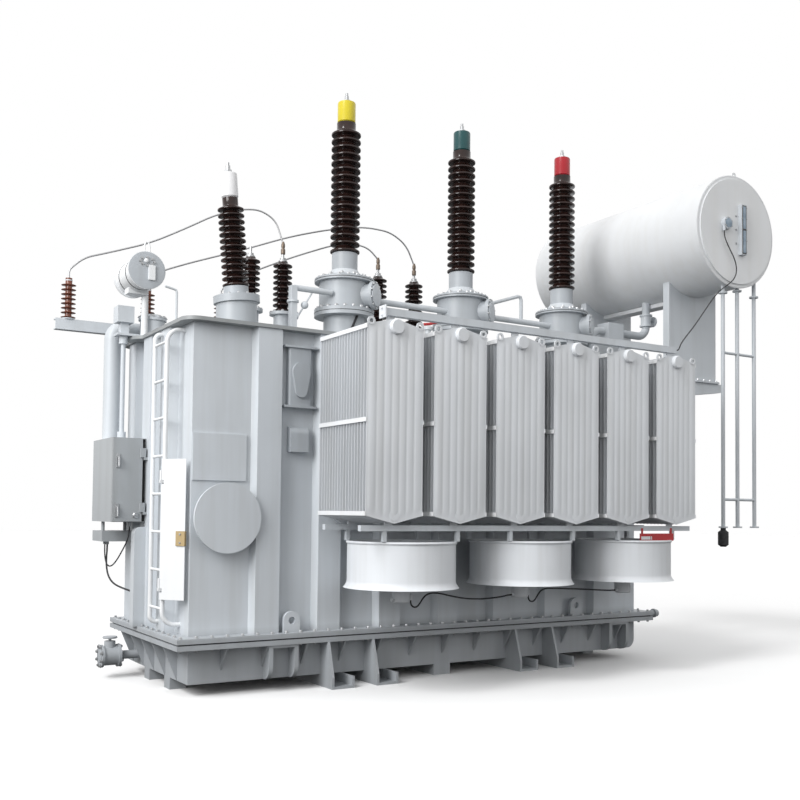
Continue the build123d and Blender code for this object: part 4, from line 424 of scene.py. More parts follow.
class Shape:
    """Points and faces gathered for one piece."""

    def __init__(self):
        self.points = []
        self.faces = []

    def add(self, points, faces):
        start = len(self.points)
        self.points += [tuple(p) for p in points]
        self.faces += [[start + i for i in face] for face in faces]

    def grid(self, rows, closed=False):
        """Skin over rows of equal length; closed joins each row's ends."""
        width = len(rows[0])
        faces = []
        for i in range(len(rows) - 1):
            for j in range(width if closed else width - 1):
                k = (j + 1) % width
                faces.append([i * width + j, i * width + k, (i + 1) * width + k, (i + 1) * width + j])
        self.add([p for row in rows for p in row], faces)

    def skin(self, rows):
        """Skin over closed rows, with a face at each end."""
        self.grid(rows, closed=True)
        for row in (rows[0], rows[-1]):
            self.add(row, [list(range(len(row)))])

    def lathe(self, profile, place, steps=LATHE_STEPS, ring=False):
        """Turned form about the Z axis of place; ring joins the profile's ends, else they are capped."""
        turns = [2 * pi * i / steps for i in range(steps)]
        rows = [[place @ Vector((r * cos(a), r * sin(a), h)) for a in turns] for r, h in profile]
        if ring:
            self.grid(rows + rows[:1], closed=True)
        else:
            self.skin(rows)

    def tube(self, path, radius, steps=TUBE_STEPS):
        """Round tube along points, with flat ends."""
        path = [Vector(p) for p in path]
        turns = [2 * pi * i / steps for i in range(steps)]
        rows = []
        side = None
        for i, point in enumerate(path):
            ahead = path[min(i + 1, len(path) - 1)] - path[max(i - 1, 0)]
            ahead.normalize()
            if side is None:
                side = ahead.orthogonal()
            side = (side - ahead * side.dot(ahead)).normalized()
            other = ahead.cross(side)
            rows.append([point + radius * (side * cos(a) + other * sin(a)) for a in turns])
        self.skin(rows)

    def block(self, low, high, place=Matrix.Identity(4)):
        """Box between two corners of place's own axes."""
        corners = [place @ Vector((x, y, z)) for x in (low[0], high[0]) for y in (low[1], high[1])
                   for z in (low[2], high[2])]
        faces = [[0, 1, 3, 2], [4, 6, 7, 5], [0, 4, 5, 1], [2, 3, 7, 6], [0, 2, 6, 4], [1, 5, 7, 3]]
        self.add(corners, faces)

    def bolt(self, point, axis, radius=BOLT_RADIUS):
        """Hexagon head on a washer, standing on a point along an axis."""
        place = stand(point, axis)
        washer = radius * WASHER_SHARE
        top = WASHER_THICK + BOLT_HEIGHT * radius / BOLT_RADIUS
        self.lathe([(washer, 0), (washer, WASHER_THICK)], place, WASHER_STEPS)
        head = [(radius, WASHER_THICK), (radius, top * BOLT_CHAMFER), (radius * BOLT_CHAMFER, top)]
        self.lathe(head, place, HEXAGON)


def stand(point, axis):
    """Place whose origin is the point and whose Z is the axis."""
    turn = Vector((0, 0, 1)).rotation_difference(Vector(axis))
    return Matrix.Translation(Vector(point)) @ turn.to_matrix().to_4x4()


def centre(node):
    low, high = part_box(node)
    return (low + high) / 2


def piece(name, shape, look, body="tank", bevel=0.0):
    """Make one object of a shape, with its look and its body."""
    mesh = bpy.data.meshes.new(name)
    mesh.from_pydata(shape.points, [], shape.faces)
    work = bmesh.new()
    work.from_mesh(mesh)
    bmesh.ops.remove_doubles(work, verts=work.verts, dist=MERGE_GAP)
    bmesh.ops.recalc_face_normals(work, faces=work.faces)
    work.to_mesh(mesh)
    work.free()
    mesh.polygons.foreach_set("use_smooth", [True] * len(mesh.polygons))
    mesh.set_sharp_from_angle(angle=SHARP_ANGLE)
    thing = bpy.data.objects.new(name, mesh)
    bpy.context.scene.collection.objects.link(thing)
    mesh.materials.append(looks[look])
    if bevel:
        soften(thing, bevel)
    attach(thing, body)
    return thing


def raised(profile, level):
    """Profile moved up to a level."""
    return [(radius, level + height) for radius, height in profile]


def ring_bolts(shape, place, ring, size=BOLT_RADIUS):
    """Bolts in a ring about the Z axis of a place."""
    level, circle, count = ring
    up = place.to_3x3() @ Vector((0, 0, 1))
    for i in range(count):
        turn = 2 * pi * (i + 0.5) / count
        shape.bolt(place @ Vector((circle * cos(turn), circle * sin(turn), level)), up, size)


def soften(thing, width):
    """Round the sharp edges of an object a little."""
    edge = thing.modifiers.new("edge", "BEVEL")
    edge.width = width
    edge.segments = EDGE_SEGMENTS
    edge.limit_method = "ANGLE"
    edge.angle_limit = EDGE_ANGLE
    edge.harden_normals = True


# Materials

looks = {}


def finish_nodes(name):
    """New node material in the list of looks, and what its makers need."""
    made = bpy.data.materials.new(name)
    made.use_nodes = True
    looks[name] = made
    tree = made.node_tree
    shader = tree.nodes["Principled BSDF"]
    coords = tree.nodes.new("ShaderNodeTexCoord")
    return tree, shader, coords.outputs["Object"]


def new_node(tree, kind, inputs):
    """New shader node whose inputs are set to values, or linked where an output is given."""
    node = tree.nodes.new(f"ShaderNode{kind}")
    for name, value in inputs.items():
        if isinstance(value, bpy.types.NodeSocket):
            tree.links.new(value, node.inputs[name])
        else:
            node.inputs[name].default_value = value
    return node


def noise(tree, coords, scale, detail, stretch=(1, 1, 1)):
    """Noise of a size in metres, stretched along the axes."""
    mapping = new_node(tree, "Mapping", {"Scale": stretch, "Vector": coords})
    inputs = {"Scale": scale, "Detail": detail, "Vector": mapping.outputs["Vector"]}
    return new_node(tree, "TexNoise", inputs).outputs["Fac"]


def ramp(tree, factor, low, high, first, second):
    """Blend of two colours where the factor runs from low to high."""
    node = tree.nodes.new("ShaderNodeValToRGB")
    node.color_ramp.elements[0].position = low
    node.color_ramp.elements[1].position = high
    node.color_ramp.elements[0].color = (*first, 1)
    node.color_ramp.elements[1].color = (*second, 1)
    tree.links.new(factor, node.inputs["Fac"])
    return node.outputs["Color"]


def multiply(tree, first, second):
    node = tree.nodes.new("ShaderNodeMix")
    node.data_type = "RGBA"
    node.blend_type = "MULTIPLY"
    node.inputs["Factor"].default_value = 1
    tree.links.new(first, node.inputs[6])
    tree.links.new(second, node.inputs[7])
    return node.outputs[2]


def relief(tree, shader, height, strength, depth):
    """Fine relief of the surface."""
    node = new_node(tree, "Bump", {"Strength": strength, "Distance": depth, "Height": height})
    tree.links.new(node.outputs["Normal"], shader.inputs["Normal"])


def spread_roughness(tree, shader, factor, low, high):
    node = new_node(tree, "MapRange", {"To Min": low, "To Max": high, "Value": factor})
    tree.links.new(node.outputs["Result"], shader.inputs["Roughness"])


def tint(colour, share):
    return tuple(c * share for c in colour)


def ground_shade(tree, coords):
    """Painted shade that darkens the paint towards the ground."""
    axes = new_node(tree, "SeparateXYZ", {"Vector": coords})
    inputs = {"From Min": GROUND_SHADE_LOW, "From Max": GROUND_SHADE_HIGH, "Value": axes.outputs["Z"]}
    height = new_node(tree, "MapRange", inputs)
    return ramp(tree, height.outputs["Result"], 0, 1, (GROUND_SHADE_LEVEL,) * 3, (1, 1, 1))


def paint(name, colour, low=0.34, high=0.52, streak=0.93, ground_shaded=False):
    """Sprayed paint: broad cloudiness, faint rain streaks, orange-peel relief, and painted shade towards the
    ground where asked.
    """
    tree, shader, coords = finish_nodes(name)
    clouds = noise(tree, coords, 1.3, 4)
    base = ramp(tree, clouds, 0.30, 0.70, tint(colour, 0.94), tint(colour, 1.03))
    streaks = noise(tree, coords, 9, 3, stretch=(1, 1, 0.06))
    wash = ramp(tree, streaks, 0.34, 0.56, (streak, streak * 0.995, streak * 0.985), (1, 1, 1))
    shade = multiply(tree, base, wash)
    # Painted shade towards the ground
    if ground_shaded:
        shade = multiply(tree, shade, ground_shade(tree, coords))
    tree.links.new(shade, shader.inputs["Base Color"])
    spread_roughness(tree, shader, clouds, low, high)
    relief(tree, shader, noise(tree, coords, 160, 2), 0.06, 0.002)


def glaze(name, dark, light):
    """Porcelain glaze: glossy, with a little colour drift."""
    tree, shader, coords = finish_nodes(name)
    drift = noise(tree, coords, 14, 4)
    tree.links.new(ramp(tree, drift, 0.35, 0.70, dark, light), shader.inputs["Base Color"])
    spread_roughness(tree, shader, drift, 0.10, 0.22)
    shader.inputs["Specular IOR Level"].default_value = 0.35
    shader.inputs["Coat Weight"].default_value = 0.2
    shader.inputs["Coat Roughness"].default_value = 0.08
    relief(tree, shader, noise(tree, coords, 60, 2), 0.04, 0.002)


def metal(name, colour, low, high, scale):
    """Bare metal with a fine grain."""
    tree, shader, coords = finish_nodes(name)
    grain = noise(tree, coords, scale, 5)
    tree.links.new(ramp(tree, grain, 0.3, 0.7, tint(colour, 0.8), colour), shader.inputs["Base Color"])
    shader.inputs["Metallic"].default_value = 1
    spread_roughness(tree, shader, grain, low, high)
    relief(tree, shader, grain, 0.08, 0.001)


def rubber(name, colour):
    """Matt black sheath or gasket."""
    tree, shader, coords = finish_nodes(name)
    dust = noise(tree, coords, 40, 4)
    tree.links.new(ramp(tree, dust, 0.35, 0.75, colour, tint(colour, 2.2)), shader.inputs["Base Color"])
    spread_roughness(tree, shader, dust, 0.5, 0.75)
    relief(tree, shader, dust, 0.1, 0.001)


# The tank's grey carries painted shade near the ground
paint("grey_paint", (0.60, 0.635, 0.67), ground_shaded=True)
paint("white_paint", (0.80, 0.815, 0.83), streak=0.975)
# Painted light: the radiators take a lighter copy of the tank's grey for the more open light on their fronts;
# the fan casings and the tie bracket share it
paint("radiator_paint", (0.72, 0.745, 0.775))
paint("cabinet_paint", (0.37, 0.39, 0.405))
# Darker grey of the turrets, which on the gauge box and the small drum's front end is painted shade
paint("turret_and_shade_paint", (0.44, 0.47, 0.50))
# Painted shade: the cover's front edge is drawn dark grey for the shade on it
paint("cover_shade_paint", (0.30, 0.315, 0.32))
paint("hasp_tan", (0.46, 0.34, 0.17), 0.4, 0.55)
rubber("gasket", (0.035, 0.036, 0.038))
glaze("dark_porcelain", (0.016, 0.008, 0.007), (0.032, 0.015, 0.012))
glaze("brown_porcelain", (0.15, 0.055, 0.036), (0.24, 0.09, 0.055))
paint("cap_yellow", (0.68, 0.56, 0.02), 0.26, 0.38)
paint("cap_green", (0.008, 0.070, 0.074), 0.26, 0.38)
paint("cap_red", (0.42, 0.009, 0.020), 0.26, 0.38)
paint("cap_white", (0.80, 0.80, 0.81), 0.22, 0.34)
metal("lead_metal", (0.50, 0.50, 0.51), 0.35, 0.55, 90)
rubber("breather_black", (0.022, 0.022, 0.024))
rubber("black_cable", (0.018, 0.018, 0.020))
metal("bolt_zinc", (0.56, 0.57, 0.58), 0.32, 0.5, 120)
metal("clamp_bronze", (0.26, 0.21, 0.17), 0.4, 0.6, 90)
glaze("gauge_glass", (0.20, 0.27, 0.34), (0.34, 0.43, 0.52))
paint("sign_red", (0.50, 0.03, 0.035), 0.3, 0.45)


# Radiators

def fin(shape, x, y, samples, depth):
    """Pressed panel of two sheets that bulge between the seams of its flutes."""
    half = PANEL_WIDTH / 2
    inner = half - PANEL_BORDER
    count = FLUTE_COUNT * samples
    columns = [(-half, 0)]
    for c in range(count + 1):
        columns.append((-inner + 2 * inner * c / count, sin(pi * (c / samples % 1)) ** FLUTE_FULLNESS))
    columns.append((half, 0))
    rings = []
    runs = (0, FLUTE_MARGIN, FLUTE_MARGIN + FLUTE_RUNOUT)
    for end, ordered in ((-1, runs), (1, runs[::-1])):
        for run in ordered:
            front = []
            back = []
            for across, crest in columns:
                slope = PEAK_RISE * (1 - abs(across) / half)
                edge = SHOULDER_LOW - slope if end < 0 else SHOULDER_HIGH + slope
                z = edge - end * run
                bulge = depth * crest if run > FLUTE_MARGIN else 0
                front.append((x + across, y - FIN_HALF - bulge, z))
                back.append((x + across, y + FIN_HALF + min(bulge, FLUTE_DEPTH), z))
            rings.append((front, back))
    shape.grid([front + back[::-1] for front, back in rings], closed=True)
    shape.grid([rings[0][0], rings[0][1]])
    shape.grid([rings[-1][0], rings[-1][1]])


def outer_fin(shape, x, side, y):
    """Outermost panel, whose flutes stand out further on its free face."""
    panel = Shape()
    fin(panel, 0, 0, FACE_SAMPLES, OUTER_FLUTE_DEPTH)
    shape.add([(x + px, y - side * py, pz) for px, py, pz in panel.points], panel.faces)


def side_straps(x, ends):
    """Flat straps along both sides of a radiator, at three levels."""
    shape = Shape()
    half = PANEL_WIDTH / 2
    middle = (SHOULDER_LOW + SHOULDER_HIGH) / 2
    for z in (SHOULDER_LOW + STRAP_HEIGHT / 2, middle, SHOULDER_HIGH - STRAP_HEIGHT / 2):
        for edge in (-half - STRAP_THICK, half):
            shape.block((x + edge, ends[0], z - STRAP_HEIGHT / 2),
                        (x + edge + STRAP_THICK, ends[1], z + STRAP_HEIGHT / 2))
    return shape


def radiator(x, side):
    """Radiator on one side of the tank: fins, headers, lugs and lifting eyes, and its straps."""
    front = FIN_BACK + (FIN_COUNT - 1) * FIN_PITCH + FIN_THICK
    depth = front - FIN_BACK
    half = PANEL_WIDTH / 2
    body = Shape()
    for i in range(FIN_COUNT):
        y = FIN_BACK + FIN_THICK / 2 + i * FIN_PITCH
        if i == FIN_COUNT - 1:
            outer_fin(body, x, side, side * y)
        else:
            fin(body, x, side * y, INNER_SAMPLES, FLUTE_DEPTH)
    for z in (SHOULDER_LOW + HEADER_INSET, SHOULDER_HIGH - HEADER_INSET):
        outward = stand((x, side * FIN_BACK, z), (0, side, 0))
        for radius, reach in ((HEADER_RADIUS, depth), (PIPE_FLANGE_RADIUS, 0)):
            body.lathe([(radius, -PIPE_FLANGE_THICK), (radius, reach)], outward, PIPE_STEPS)
    # Only the upper header, the last one made, shows a cap
    body.lathe(raised(HEADER_CAP, depth), outward, PIPE_STEPS)
    lugs = ((front - TIE_INSET, SHOULDER_HIGH, TIE_BOTTOM), (front - BEAM_INSET, BEAM_TOP, SHOULDER_LOW),
            (FIN_BACK + BEAM_INSET, BEAM_TOP, SHOULDER_LOW))
    for y, low, high in lugs:
        body.block((x - LUG_WIDTH / 2, side * y - LUG_THICK / 2, low),
                   (x + LUG_WIDTH / 2, side * y + LUG_THICK / 2, high))
    for edge in (EYE_RADIUS - half, half - EYE_RADIUS):
        seat = (x + edge, side * (front - FIN_THICK / 2), SHOULDER_HIGH + EYE_RISE)
        body.lathe(EYE, stand(seat, (0, 1, 0)), FITTING_STEPS, ring=True)
    return body, side_straps(x, sorted((side * FIN_BACK, side * front)))


def radiators():
    places = [centre(f"radiator_front_{i + 1}").x for i in range(RADIATOR_COUNT)]
    for side, row, node in ((-1, "radiator_front", None), (1, "radiator_rear", "radiators_rear")):
        for i, x in enumerate(places):
            name = f"{row}_{i + 1}"
            body, straps = radiator(x, side)
            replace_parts(piece(f"fluted_{name}", body, "radiator_paint"), node or name)
            piece(f"straps_{name}", straps, "white_paint")


# Fans

def flare(radius, shares):
    """Profile of the flared inlet on a wall of a radius, at shares of its rise."""
    return [(radius + FAN_LIP * (1 - s) ** 2, FAN_BOTTOM + FAN_LIP_RISE * s) for s in shares]


def fan_casing(shape, x, y):
    """Drum with a rolled top, a flared inlet, motor, arms and a wire guard."""
    place = Matrix.Translation((x, y, 0))
    inner = FAN_RADIUS - FAN_WALL
    roll = [(FAN_RADIUS + FAN_ROLL * sin(a), FAN_TOP - FAN_ROLL - FAN_ROLL * cos(a))
            for a in (0, pi / 4, pi / 2, 3 * pi / 4, pi)]
    wall = flare(FAN_RADIUS, FLARE_OUTSIDE) + roll + [(inner, FAN_TOP)] + flare(inner, FLARE_INSIDE)
    shape.lathe(wall + [(FAN_RADIUS + FAN_LIP, FAN_BOTTOM)], place, FAN_STEPS, ring=True)
    shape.lathe(MOTOR, place, MOTOR_STEPS)
    gland_top = GLAND_OUT_LEVEL + GLAND_LENGTH
    arm_level = gland_top - GLAND_RADIUS
    shape.tube([(x, y, GLAND_IN_LEVEL), (x - GLAND_OUT, y, GLAND_IN_LEVEL)], GLAND_RADIUS)
    shape.tube([(x, y, arm_level), (x + GLAND_OUT, y, arm_level)], GLAND_ARM_RADIUS)
    shape.tube([(x + GLAND_OUT, y, GLAND_OUT_LEVEL), (x + GLAND_OUT, y, gland_top)], GLAND_RADIUS)
    for i in range(ARM_COUNT):
        turn = place @ Matrix.Rotation(ARM_TURN + 2 * pi * i / ARM_COUNT, 4, "Z")
        shape.block((ARM_ROOT, -ARM_WIDTH / 2, ARM_LOW), (inner, ARM_WIDTH / 2, ARM_LOW + ARM_THICK), turn)
    for i in range(GUARD_RINGS):
        radius = MOTOR_RADIUS + (inner - MOTOR_RADIUS) * (i + 0.5) / GUARD_RINGS
        turns = [2 * pi * k / GUARD_STEPS for k in range(GUARD_STEPS + 1)]
        ring = [(x + radius * cos(a), y + radius * sin(a), GUARD_LEVEL) for a in turns]
        shape.tube(ring, GUARD_WIRE_RADIUS, WIRE_STEPS)


def fan_rotor(shape, x, y):
    """Hub with twisted blades."""
    place = Matrix.Translation((x, y, 0))
    shape.lathe(ROTOR_HUB, place, MOTOR_STEPS)
    half = BLADE_CHORD / 2
    for i in range(BLADE_COUNT):
        turn = place @ Matrix.Rotation(2 * pi * i / BLADE_COUNT, 4, "Z")
        rows = []
        for s in range(BLADE_STATIONS):
            share = s / (BLADE_STATIONS - 1)
            radius = BLADE_ROOT + (BLADE_TIP - BLADE_ROOT) * share
            pitch = BLADE_ROOT_PITCH + (BLADE_TIP_PITCH - BLADE_ROOT_PITCH) * share
            ring = []
            for across, thick in ((-half, 0), (0, BLADE_HALF), (half, 0), (0, -BLADE_HALF)):
                ring.append(turn @ Vector((radius, across * cos(pitch) - thick * sin(pitch),
                                           ROTOR_LEVEL + across * sin(pitch) + thick * cos(pitch))))
            rows.append(ring)
        shape.skin(rows)


def fans():
    rear_casings = Shape()
    rear_rotors = Shape()
    for i in range(1, FAN_COUNT + 1):
        place = centre(f"fan_casing_{i}")
        casing = Shape()
        fan_casing(casing, place.x, place.y)
        casing = piece(f"flared_fan_casing_{i}", casing, "radiator_paint")
        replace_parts(casing, f"fan_casing_{i}")
        rotor = Shape()
        fan_rotor(rotor, place.x, place.y)
        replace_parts(piece(f"bladed_fan_rotor_{i}", rotor, "white_paint", f"fan_rotor_{i}"), f"fan_rotor_{i}")
        fan_casing(rear_casings, place.x, -place.y)
        fan_rotor(rear_rotors, place.x, -place.y)
    rear_casings = piece("flared_fan_casings_rear", rear_casings, "radiator_paint")
    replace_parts(rear_casings, "fan_casings_rear")
    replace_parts(piece("bladed_fan_rotors_rear", rear_rotors, "white_paint"), "fan_rotors_rear")


# Insulators

def sheds(low, count, pitch, tip, root, neck, outline=THICK_SHED):
    """Profile of rounded sheds on a core."""
    deep = tip - root
    profile = [(root, low)]
    for i in range(count):
        profile += [(root + deep * out, low + pitch * (i + up)) for out, up in outline]
    return profile + [(root, low + count * pitch + neck)]


def cap(node, place, low, height, radius, look):
    """Painted cap of a bushing, and its bare terminal stud."""
    top = low + height
    body = Shape()
    body.lathe([(radius - CAP_ROUND, low), (radius, low + CAP_ROUND), (radius, top - CAP_ROUND),
                (radius - CAP_EASE, top - CAP_EASE), (radius - CAP_ROUND, top), (STUD_RADIUS, top)], place)
    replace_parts(piece(f"turned_{node}", body, look), node)
    stud = Shape()
    stud.lathe(raised(STUD_NUT, top), place, HEXAGON)
    stud.lathe(raised(STUD, top), place, FITTING_STEPS)
    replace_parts(piece(f"stud_{node}", stud, "bolt_zinc"), node)


def hv_bushings():
    porcelain = Shape()
    for colour in PHASES:
        node = f"hv_cap_{colour}"
        place = Matrix.Translation((centre(node).x, 0, 0))
        porcelain.lathe(sheds(*HV_PORCELAIN), place)
        cap(node, place, *HV_CAP, f"cap_{colour}")
    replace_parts(piece("shed_hv_porcelains", porcelain, "dark_porcelain"), "hv_porcelains")


def neutral_bushing():
    lean = Matrix.Translation(NEUTRAL_SEAT) @ Matrix.Rotation(-NEUTRAL_LEAN, 4, "Y")
    porcelain = Shape()
    porcelain.lathe(sheds(*NEUTRAL_PORCELAIN), lean)
    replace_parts(piece("shed_neutral_porcelain", porcelain, "dark_porcelain"), "neutral_porcelain")
    cap("neutral_cap", lean, *NEUTRAL_CAP, "cap_white")
    bolts = Shape()
    ring_bolts(bolts, lean, NEUTRAL_BOLTS)
    piece("neutral_bolts", bolts, "bolt_zinc")


def lv_bushings():
    """Low-voltage porcelains with their studs, and the clamps that hold the leads."""
    porcelain = Shape()
    studs = Shape()
    clamps = Shape()
    bolts = Shape()
    for i, x in enumerate(LV_X):
        place = Matrix.Translation((x, LV_Y, 0))
        porcelain.lathe(sheds(*LV_PORCELAIN), place)
        studs.lathe(raised(LV_STUD, LV_STUD_LOW), place, FITTING_STEPS)
        if i in LEAD_BUSHINGS:
            clamps.lathe(raised(LEAD_CLAMP, LV_STUD_TOP), place, FITTING_STEPS)
        for ring in LV_BOLTS:
            ring_bolts(bolts, place, ring)
    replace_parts(piece("shed_lv_bushings", porcelain, "dark_porcelain"), "lv_bushings")
    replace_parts(piece("lv_studs", studs, "bolt_zinc"), "lv_bushings")
    piece("lead_clamps", clamps, "clamp_bronze")
    piece("lv_bolts", bolts, "bolt_zinc")


def posts():
    """Post insulators of thin sheds, with their metal ends."""
    porcelain = Shape()
    ends = Shape()
    profile = sheds(*POST_PORCELAIN, THIN_SHED)
    for x in POST_X:
        place = Matrix.Translation((x, POST_Y, 0))
        porcelain.lathe(profile, place)
        ends.lathe(raised(POST_FOOT, profile[0][1]), place, FITTING_STEPS)
        ends.lathe(raised(POST_HEAD, profile[-1][1]), place, FITTING_STEPS)
    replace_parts(piece("shed_post_insulators", porcelain, "brown_porcelain"), "post_insulators")
    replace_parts(piece("post_ends", ends, "grey_paint"), "post_insulators")


def turrets():
    """Bolts, joints, skirts and covers of the high-voltage turrets."""
    bolts = Shape()
    joints = Shape()
    covers = Shape()
    outward = Vector((cos(CT_TURN), sin(CT_TURN), 0))
    for colour in PHASES:
        x = centre(f"hv_cap_{colour}").x
        place = Matrix.Translation((x, 0, 0))
        for ring in TURRET_BOLTS:
            ring_bolts(bolts, place, ring, TURRET_BOLT)
        for z in TURRET_JOINT_LEVELS:
            joints.lathe(raised(TURRET_JOINT, z), place, JOINT_STEPS, ring=True)
        covers.lathe(raised(SKIRT, COLLAR_TOP), place)
        tip = stand(Vector((x, 0, CT_LEVEL)) + outward * CT_REACH, outward)
        covers.lathe(CT_COVER, tip, CT_COVER_SIDES)
        ring_bolts(bolts, tip, CT_BOLTS, SMALL_BOLT)
    piece("turret_bolts", bolts, "bolt_zinc")
    piece("turret_joints", joints, "gasket")
    piece("turret_covers", covers, "grey_paint")


# Tank flange

def flange_bolts():
    """Bolt heads along the tank flange and nuts under it."""
    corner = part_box("bell_tank")[1]
    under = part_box("base_tank")[1].z - BASE_FLANGE
    edge_x = corner.x - FLANGE_BOLT_INSET
    edge_y = corner.y - FLANGE_BOLT_INSET
    count_x = int(2 * edge_x / FLANGE_BOLT_PITCH)
    count_y = int(2 * edge_y / FLANGE_BOLT_PITCH)
    places = []
    for side in (-1, 1):
        places += [(-edge_x + 2 * edge_x * i / count_x, side * edge_y) for i in range(count_x + 1)]
        places += [(side * edge_x, -edge_y + 2 * edge_y * i / count_y) for i in range(1, count_y)]
    shape = Shape()
    for x, y in places:
        shape.bolt((x, y, FLANGE_TOP), (0, 0, 1))
        shape.bolt((x, y, under), (0, 0, -1))
    piece("flange_bolts", shape, "bolt_zinc")


# Fittings of the left end and the cover

def cabinet_fittings():
    """Lever handles and a lock on the cabinet door."""
    handles = Shape()
    for x, z in HANDLE_PLACES:
        handles.block(*HANDLE_PLATE, Matrix.Translation((x, DOOR_FACE, z)))
        handles.tube([(x, DOOR_FACE + out, z + up) for out, up in HANDLE_LEVER], HANDLE_RADIUS)
    piece("door_handles", handles, "bolt_zinc", "cabinet_door", bevel=0.002)
    lock = Shape()
    lock.lathe(LOCK, stand(LOCK_PLACE, (0, -1, 0)), FITTING_STEPS)
    piece("door_lock", lock, "bolt_zinc", "cabinet_door")


def guard_hasp():
    """Tan hasp folded round the free edge of the ladder guard, with two rivets."""
    place = Matrix.Translation(GUARD_HINGE) @ Matrix.Rotation(GUARD_TURN, 4, "Z")
    body = Shape()
    for corners in HASP:
        body.block(*corners, place)
    piece("guard_hasp", body, "hasp_tan", "ladder_guard", bevel=0.003)
    rivets = Shape()
    outward = place.to_3x3() @ Vector((0, -1, 0))
    for spot in RIVET_PLACES:
        rivets.bolt(place @ Vector(spot), outward, RIVET_RADIUS)
    piece("hasp_rivets", rivets, "bolt_zinc", "ladder_guard")


def small_drum():
    """Bolted end, gauge, hoops and bail of the small conservator."""
    front = stand(SMALL_DRUM, (0, -1, 0))
    # Painted shade: the front end is a disc of darker grey for the shade on that face
    end = Shape()
    end.lathe(SMALL_DRUM_END, front, SMALL_DRUM_STEPS)
    piece("small_drum_shaded_end", end, "turret_and_shade_paint")
    bolts = Shape()
    oval = front @ Matrix.Translation((0, 0, SMALL_DRUM_END[-1][1])) @ Matrix.Diagonal((*OVAL_SIZE, 1, 1))
    for i in range(OVAL_COUNT):
        turn = 2 * pi * i / OVAL_COUNT
        spot = oval @ Vector((cos(turn), sin(turn), 0)) + Vector((0, 0, OVAL_RISE))
        bolts.bolt(spot, (0, -1, 0), SMALL_BOLT)
    piece("small_drum_bolts", bolts, "bolt_zinc")
    hoops = Shape()
    for y in SMALL_DRUM_HOOP_PLACES:
        hoops.lathe(raised(SMALL_DRUM_HOOP, y), stand(SMALL_DRUM, (0, 1, 0)), SMALL_DRUM_STEPS, ring=True)
    piece("small_drum_hoops", hoops, "gasket")
    trim = Shape()
    trim.block(*SMALL_GAUGE, Matrix.Translation(SMALL_DRUM))
    trim.lathe(SMALL_PLUG, stand(SMALL_DRUM + Vector(SMALL_PLUG_PLACE), (0, -1, 0)), PLUG_STEPS)
    crown = SMALL_DRUM + Vector(BAIL_SEAT)
    trim.tube([crown + Vector((x, 0, z)) for x, z in BAIL], BAIL_RADIUS, ROD_STEPS)
    piece("small_drum_trim", trim, "white_paint", bevel=0.003)


def cover_fittings():
    """Thin rod at the cover's left end, and the gas pipe's stub on its post."""
    rods = Shape()
    rods.tube(ROD, ROD_RADIUS, ROD_STEPS)
    rods.tube(GAS_STUB, GAS_STUB_RADIUS, PLUG_STEPS)
    rods.block(*GAS_POST)
    piece("cover_rods", rods, "grey_paint", bevel=0.003)


def gas_fittings():
    """Collars, plug and ball rod of the gas post, the gas elbow, and the valve with its red lever."""
    fittings = Shape()
    for place in POST_COLLAR_PLACES:
        fittings.lathe(POST_COLLAR, Matrix.Translation(place), FITTING_STEPS)
    fittings.lathe(POST_PLUG, stand(POST_PLUG_PLACE, (1, 0, 0)), FITTING_STEPS)
    fittings.tube(BALL_ROD, BALL_ROD_RADIUS, BALL_ROD_STEPS)
    turns = [pi * (i + 0.25) / (BALL_ROWS - 0.5) for i in range(BALL_ROWS)]
    ball = [(BALL_RADIUS * sin(a), -BALL_RADIUS * cos(a)) for a in turns]
    fittings.lathe(ball, stand(BALL_PLACE, BALL_AXIS), FITTING_STEPS)
    fittings.tube(GAS_ELBOW, GAS_ELBOW_RADIUS)
    fittings.lathe(VALVE, Matrix.Translation(VALVE_PLACE), FITTING_STEPS)
    piece("post_fittings", fittings, "grey_paint")
    lever = Shape()
    lever.tube(VALVE_LEVER, VALVE_LEVER_RADIUS, ROD_STEPS)
    piece("valve_lever", lever, "sign_red")


def ct_conduit():
    """Black conduit from the first turret down to the cover, with its gland."""
    conduit = Shape()
    conduit.tube(CONDUIT, CONDUIT_RADIUS, ROD_STEPS)
    conduit.lathe(CONDUIT_GLAND, stand(CONDUIT[0], CONDUIT_AXIS), ROD_STEPS)
    piece("ct_conduit", conduit, "black_cable")


def tap_changer_bolts():
    bolts = Shape()
    head = centre("tap_changer_head")
    ring_bolts(bolts, Matrix.Translation((head.x, head.y, 0)), TAP_BOLTS)
    piece("tap_changer_bolts", bolts, "bolt_zinc")


def tie_bracket():
    """Bolted plate at the left end of the coolers' tie bar."""
    bracket = Shape()
    bracket.block(*TIE_BRACKET)
    for place in TIE_BRACKET_BOLTS:
        bracket.bolt(place, (-1, 0, 0), SMALL_BOLT)
    piece("tie_bracket", bracket, "radiator_paint", bevel=0.003)


def drain_fittings():
    """Bolts on the drain valve's flanges, the rim of its wheel and its end cap."""
    low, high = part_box("drain_valve")
    x = low.x + DRAIN_HALF
    bolts = Shape()
    for way in (-1, 1):
        ring_bolts(bolts, stand((x + way * DRAIN_HALF, DRAIN_Y, DRAIN_Z), (way, 0, 0)), DRAIN_BOLTS)
    piece("drain_bolts", bolts, "bolt_zinc")
    trim = Shape()
    trim.lathe(raised(DRAIN_WHEEL, high.z), Matrix.Translation((x, DRAIN_Y, 0)), PIPE_STEPS, ring=True)
    trim.lathe(DRAIN_CAP, stand((low.x, DRAIN_Y, DRAIN_Z), (-1, 0, 0)), PIPE_STEPS)
    piece("drain_trim", trim, "grey_paint")


# Conservator

